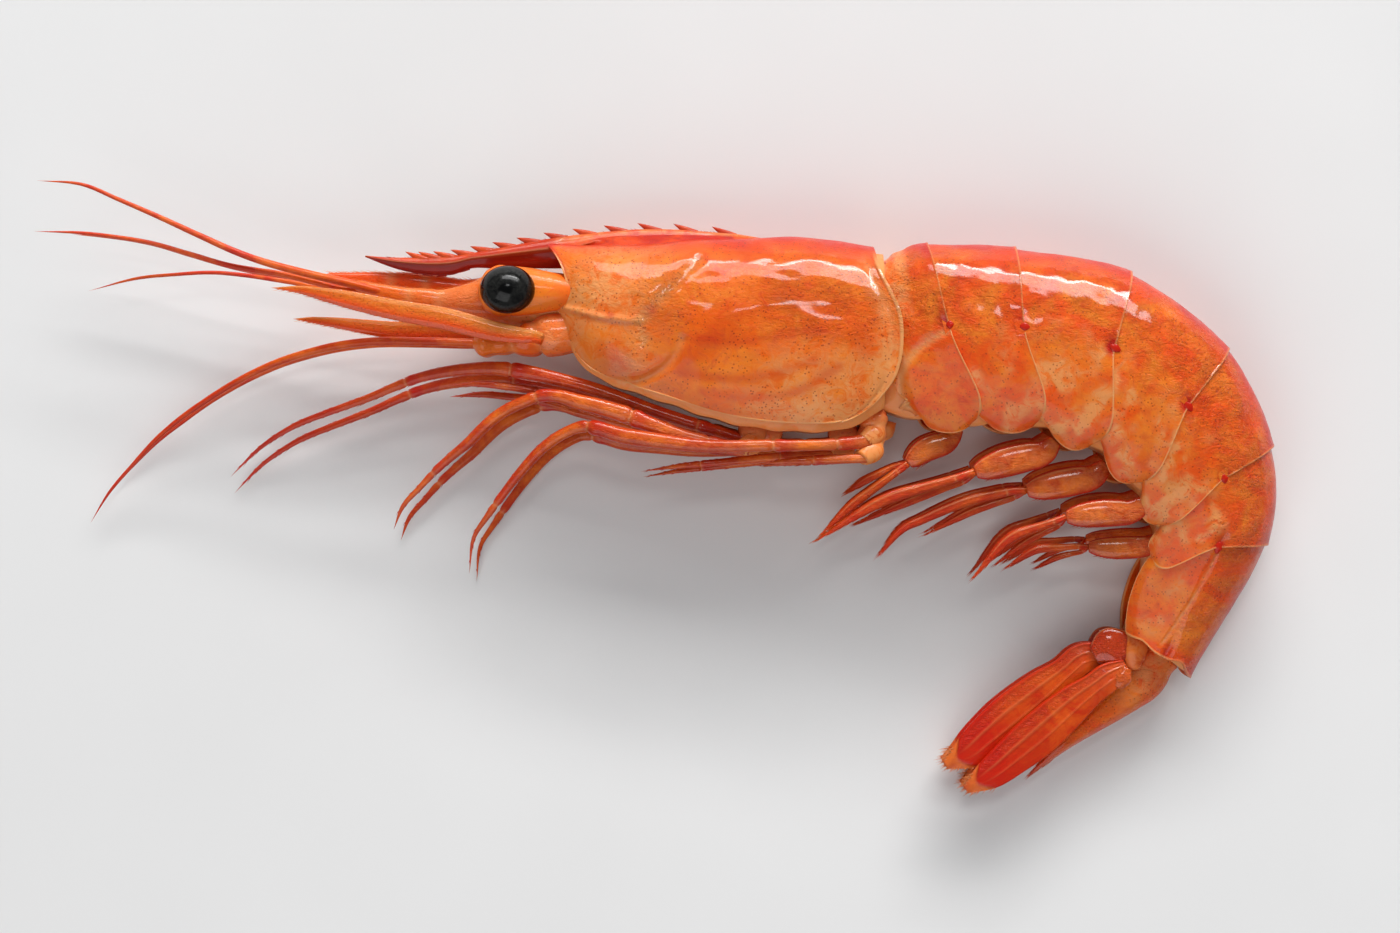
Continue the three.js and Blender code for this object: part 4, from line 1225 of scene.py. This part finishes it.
def make_swimmerets():
    """The paddles under the tail: a flat oval base with two or three blades each."""
    material = limb_look("swimmeret_surface")
    for hand in HANDS:
        for number in range(1, 6):
            node = f"swimmeret_{hand}_{number}"
            ends = chains(node, LIMB_SIDES)
            body_centre = tail_axis(np.full((1,), number - 0.5))[0]
            ends.sort(key=lambda chain: np.linalg.norm(chain[0] - body_centre))
            shape = Shape()
            rail = paddle_rail(number, ends[0])
            add_tube(shape, rail, sides=30, rows=60,
                     red=lambda s, a: 0.15 + 0.85 * sides_mark(a, 0.2) + 0.3 * ease(s, 0.85, 0.95),
                     milk=lambda s, a: 0.3 * bump_at(np.abs(np.sin(a)), 1, 0.35),
                     # pale: a painted highlight along the paddle's upper edge
                     pale=lambda s, a: 0.6 * bump_at(np.cos(a), -0.8, 0.05) * ease(s, 0.2, 0.3),
                     wet=0.5)
            add_fringe(shape, rail, 0.35, 0.9, 12, 0.7 * MM, lean=0.8, edges=(1,),
                       seed=40 + number, red=0.6)
            for i, (tip, rows) in enumerate(ends[1:]):
                blade = rail_of(tip, rows).reversed_to(rail.spots[-1])
                blade.widths = blade.widths * 0.66
                add_tube(shape, blade, sides=18, rows=54, ribs=0.2, joints=(0.12,), swell=0.05,
                         red=lambda s, a: 0.4 + 0.35 * ease(s, 0.2, 0.8), wet=0.4,
                         # pale: a painted highlight along the upper side of each blade
                         pale=lambda s, a: 0.4 * bump_at(np.cos(a), -0.5, 0.08) * fall(s, 0.6, 0.9))
                add_fringe(shape, blade, 0.35, 0.99, 30, 0.8 * MM, lean=0.93,
                           seed=number * 3 + i, red=0.7)
            shape.piece(node + "_skin", material, [node])


# ---- Tail fan ----

BLADE_ROWS = 90  # from the root to the end of a fan blade
BLADE_COLUMNS = 33  # from one edge of it to the other
BLADE_BRISTLES = 70  # at its end
BLADE_WIDTH = {"outer": 1.22, "inner": 1.2}  # times the frame's own width

def add_blade(shape, rail, seed):
    """A blade of the fan: a broad thin leaf with a stiff outer edge, two ribs, a seam across
    it near its end and a fringe of bristles past the seam."""
    columns, rows = BLADE_COLUMNS, BLADE_ROWS
    s = 1 - (1 - np.linspace(0, 1, rows)) ** 1.15
    spots, along, side, up, widths, thicks = rail.frames(s)
    c = np.linspace(-1, 1, columns)
    widths = widths * np.sqrt(1 - 0.8 * ease(s, 0.8, 1.02) ** 2)
    seam = 0.925 - 0.06 * c ** 2
    beyond = ease(s[:, None], seam, seam + 0.02)
    ridge = 0.5 * bump_at(c, -0.9, 0.1) + 0.3 * bump_at(c, -0.28, 0.06) + 0.18 * bump_at(c, 0.3, 0.05)
    dome = 0.5 * (1 - c ** 2) + ridge * fall(s, 0.75, 0.9)[:, None]
    fine = 0.05 * np.cos(c * 60) * ease(s, 0.1, 0.3)[:, None]
    body = (dome + fine + 0.1 - 0.25 * beyond) * thicks[:, None]
    flat = spots[:, None, :] + side[:, None, :] * (c * widths[:, None])[..., None]
    upper = flat + up[:, None, :] * (body * 1.5)[..., None]
    lower = flat - up[:, None, :] * (0.5 * thicks[:, None] * (1 - c ** 2) + 0.04 * MM)[..., None]
    ribs = np.clip(ridge * 2, 0, 1) * fall(s, 0.8, 0.95)[:, None]
    red = 0.55 + 0.45 * ease(s, 0.5, 0.84)[:, None] * (1 - beyond) + 0.3 * bump_at(c, -1, 0.15)
    pale = np.maximum(0.4 * ribs * (c > -0.6), 0.12 * beyond)
    wet = 0.35 * bump_at(c, -0.65, 0.3) * (1 - beyond)
    if up[0, 2] < 0:
        upper, lower = lower, upper
    shape.add_shell(on_floor(upper), on_floor(lower), red=red * (1 - 0.4 * beyond), pale=pale, wet=wet,
                    milk=0.3 * fall(s, 0.05, 0.4)[:, None] + 0.12 * beyond)
    rng = random.Random(seed)
    thin = settings().limbs.bristle
    for _ in range(BLADE_BRISTLES):
        place = rng.uniform(-1, 1)
        if abs(place) < 0.95:
            r = int(rng.uniform(0.9, 0.995) * (rows - 1))
        else:
            r = int(rng.uniform(0.8, 0.97) * rows)
        root = spots[r] + side[r] * place * widths[r]
        way = along[r] + side[r] * place * 0.35 + up[r] * rng.uniform(-0.1, 0.1)
        shape.add_hair(root, way, rng.uniform(0.5, 1.2) * MM, thin, pale=rng.uniform(0.1, 0.7), red=0.5)


def fan_rail(node, root, width):
    """The rail of a fan blade from its narrow root, held broad and blunt at its end."""
    rail = limb_rail(node)
    spots = np.vstack([[root], rail.spots])
    broad = rail.widths.max()
    held = np.maximum(rail.widths[:-1], 0.67 * broad)
    widths = np.concatenate([[0.35 * broad], held, [rail.widths[-2] * 0.62]]) * width
    thicks = np.concatenate([[rail.thicks[0]], rail.thicks[:-1], [rail.thicks[-2] * 0.5]])
    return Rail(spots, widths, thicks)


def make_tail_fan():
    """The telson, the roots beside it and the four blades on them."""
    fan = limb_look("fan_surface")
    last = LINES[-1]
    mouth = np.array([last[0] * 0.55 + last[2] * 0.45, last[1] * 0.55 + last[3] * 0.45, last[5]])
    rail = limb_rail("telson").reversed_to(mouth)
    rail.widths = rail.widths * np.interp(rail.knots, [0, 0.25, 0.5, 1], [1.7, 1.3, 1.1, 1.0])
    shape = Shape()
    add_tube(shape, rail, sides=30, rows=80, ribs=0.06,
             milk=lambda s, a: 0.7 * fall(s, 0.15, 0.5) * bump_at(np.cos(a), 0, 0.8),
             red=lambda s, a: 0.15 + 0.45 * ease(s, 0.55, 1) + 0.3 * sides_mark(a, 0.1),
             pale=lambda s, a: 0.4 * bump_at(np.cos(a), 0.55, 0.05), wet=0.4)
    add_fringe(shape, rail, 0.8, 0.99, 14, 0.7 * MM, lean=0.92, seed=61, red=0.4)
    shape.piece("telson_skin", plate_look(), ["telson"])
    for hand, sign in HANDS.items():
        node = f"tail_root_{hand}"
        rail = limb_rail(node)
        height = rail.spots[0][2]
        shape = Shape()
        first, end = rail.spots[0], rail.spots[-1]
        knob = Rail([first + mm(0.7, 0.5, 0), (first + end) / 2, end + mm(0.1, -0.7, 0)],
                    mm(1.1, 1.95, 0.9), mm(0.4, 0.6, 0.3))
        add_tube(shape, knob, sides=28, rows=40, red=0.7, wet=0.9,
                 pale=lambda s, a: 0.6 * sides_mark(a, 0.04))
        knee = np.array([first[0] + 1.05 * MM, first[1] - 0.1 * MM, height - 0.1 * MM])
        side_knob = Rail([knee + mm(-0.3, 1.9, 0), knee, knee + mm(-0.2, -2.2, 0)],
                         mm(0.8, 1.3, 0.6), mm(0.5, 0.75, 0.3))
        add_tube(shape, side_knob, sides=24, rows=30, milk=0.45, red=0.15)
        cap = rail.spots[1] + mm(0.45, -3.0, 0.45 * sign)
        step = mm(0.5, 1.0, 0)
        cap_rail = Rail([cap + step, cap, cap - step], mm(0.5, 0.95, 0.5), mm(0.3, 0.45, 0.3))
        add_tube(shape, cap_rail, sides=20, rows=24, milk=0.2, red=0.35, wet=0.6)
        shape.piece(node + "_skin", fan, [node])
        start = rail.spots[1]
        roots = {"outer": start + mm(0.2, -0.9, 0), "inner": start + mm(0.9, -1.9, 0)}
        for blade, width in BLADE_WIDTH.items():
            node = f"tail_{blade}_{hand}"
            root = roots[blade]
            root = np.array([root[0], root[1], limb_rail(node).spots[0][2] - 0.4 * sign * MM])
            shape = Shape()
            add_blade(shape, fan_rail(node, root, width), seed=71)
            shape.piece(node + "_skin", fan, [node])


# ---- Stage ----

AIM = (4.35 * MM, 1.95 * MM)  # the place on the shrimp over which the camera stands
# The soft lights: where each stands and its two sides, in metres.
LAMPS = {"key": ((0.25, 1.2, 0.72), (1.5, 0.45)), "strip": ((0.32, 1.2, 0.5), (0.9, 0.12)),
         "glint": ((0.05, 0.62, 1.7), (0.34, 0.2)), "fill": ((-0.5, -1.2, 1.4), (1.6, 1.6))}


def make_stage():
    """A pale floor, soft lights, and the camera over the shrimp."""
    stage = settings().stage
    bpy.ops.mesh.primitive_plane_add(size=4, location=(0, 0, 0))
    floor = bpy.context.object
    floor.name = "pale_floor"
    floor.data.materials.append(floor_finish())
    target = Vector((*AIM, MID))
    powers = {"key": stage.key, "strip": stage.key * 0.45, "glint": stage.glint, "fill": stage.fill}
    for name, (place, size) in LAMPS.items():
        add_area_light(name, place, target, size, powers[name])
    bpy.context.scene.view_settings.view_transform = "Standard"
    world = bpy.data.worlds.new("soft_room")
    world.use_nodes = True
    sky = world.node_tree.nodes["Background"].inputs
    sky["Color"].default_value = (0.9, 0.93, 1.0, 1)
    sky["Strength"].default_value = 0.2
    bpy.context.scene.world = world
    camera = bpy.data.cameras.new("camera")
    camera.lens = stage.lens
    camera.sensor_width = 36
    camera.clip_start = 0.01
    holder = placed("camera", camera)
    distance = stage.view_width * stage.lens / camera.sensor_width
    holder.location = target + Vector((0, 0, distance))
    bpy.context.scene.camera = holder


def add_area_light(name, place, target, size, power):
    """A soft light with two sides, turned to a target."""
    light = bpy.data.lights.new(name, "AREA")
    light.shape = "RECTANGLE"
    light.size, light.size_y = size
    light.energy = power
    lamp = placed(name, light)
    lamp.location = place
    lamp.rotation_euler = (target - Vector(place)).to_track_quat("-Z", "Y").to_euler()


# ---- Operators and panel ----

def make_plates():
    """All the plates of the tail, from the head back."""
    for k in range(1, PLATES + 1):
        make_plate(k)


class SHRIMP_OT_stage(bpy.types.Operator):
    """Floor, lights and camera"""
    bl_idname = "shrimp.stage"
    bl_label = "Stage"

    def execute(self, context):
        make_stage()
        return {"FINISHED"}


class SHRIMP_OT_head_shell(bpy.types.Operator):
    """The shell over the head and breast"""
    bl_idname = "shrimp.head_shell"
    bl_label = "Head Shell"

    def execute(self, context):
        make_head_shell()
        return {"FINISHED"}


class SHRIMP_OT_crest(bpy.types.Operator):
    """The toothed crest and the beak"""
    bl_idname = "shrimp.crest"
    bl_label = "Crest and Beak"

    def execute(self, context):
        make_crest()
        return {"FINISHED"}


class SHRIMP_OT_eyes(bpy.types.Operator):
    """Both eyes on their stalks"""
    bl_idname = "shrimp.eyes"
    bl_label = "Eyes"

    def execute(self, context):
        make_eyes()
        return {"FINISHED"}


class SHRIMP_OT_face(bpy.types.Operator):
    """The head, the feeler bases and the scales"""
    bl_idname = "shrimp.face"
    bl_label = "Face"

    def execute(self, context):
        make_face()
        return {"FINISHED"}


class SHRIMP_OT_whips(bpy.types.Operator):
    """The thin whips and the long feelers"""
    bl_idname = "shrimp.whips"
    bl_label = "Whips"

    def execute(self, context):
        make_whips()
        return {"FINISHED"}


class SHRIMP_OT_legs(bpy.types.Operator):
    """The walking legs and jaw legs"""
    bl_idname = "shrimp.legs"
    bl_label = "Legs"

    def execute(self, context):
        make_legs()
        return {"FINISHED"}


class SHRIMP_OT_plates(bpy.types.Operator):
    """The plates of the tail"""
    bl_idname = "shrimp.plates"
    bl_label = "Tail Plates"

    def execute(self, context):
        make_plates()
        return {"FINISHED"}


class SHRIMP_OT_hinges(bpy.types.Operator):
    """The knobs between the plates"""
    bl_idname = "shrimp.hinges"
    bl_label = "Hinges"

    def execute(self, context):
        make_hinges()
        return {"FINISHED"}


class SHRIMP_OT_flesh(bpy.types.Operator):
    """The soft body inside the shell"""
    bl_idname = "shrimp.flesh"
    bl_label = "Flesh"

    def execute(self, context):
        make_flesh()
        return {"FINISHED"}


class SHRIMP_OT_swimmerets(bpy.types.Operator):
    """The paddles under the tail"""
    bl_idname = "shrimp.swimmerets"
    bl_label = "Swimmerets"

    def execute(self, context):
        make_swimmerets()
        return {"FINISHED"}


class SHRIMP_OT_tail_fan(bpy.types.Operator):
    """The blades at the end of the tail"""
    bl_idname = "shrimp.tail_fan"
    bl_label = "Tail Fan"

    def execute(self, context):
        make_tail_fan()
        return {"FINISHED"}


OPERATORS = [
    SHRIMP_OT_stage,
    SHRIMP_OT_head_shell,
    SHRIMP_OT_crest,
    SHRIMP_OT_eyes,
    SHRIMP_OT_face,
    SHRIMP_OT_whips,
    SHRIMP_OT_legs,
    SHRIMP_OT_plates,
    SHRIMP_OT_hinges,
    SHRIMP_OT_flesh,
    SHRIMP_OT_swimmerets,
    SHRIMP_OT_tail_fan,
]


class SHRIMP_PT_pieces(bpy.types.Panel):
    """Lists the makers of the shrimp's pieces."""
    bl_idname = "SHRIMP_PT_pieces"
    bl_label = "Raw Shrimp"
    bl_space_type = "VIEW_3D"
    bl_region_type = "UI"
    bl_category = "Shrimp"

    def draw(self, context):
        for maker in OPERATORS:
            self.layout.operator(maker.bl_idname)


CLASSES = [ShellSettings, LimbSettings, StageSettings, ShrimpSettings, *OPERATORS, SHRIMP_PT_pieces]


def register():
    for made in CLASSES:
        bpy.utils.register_class(made)
    bpy.types.Scene.shrimp = bpy.props.PointerProperty(type=ShrimpSettings)


def unregister():
    del bpy.types.Scene.shrimp
    for made in reversed(CLASSES):
        bpy.utils.unregister_class(made)


def main():
    register()
    for maker in OPERATORS:
        group, name = maker.bl_idname.split(".")
        getattr(getattr(bpy.ops, group), name)()


if __name__ == "__main__":
    main()
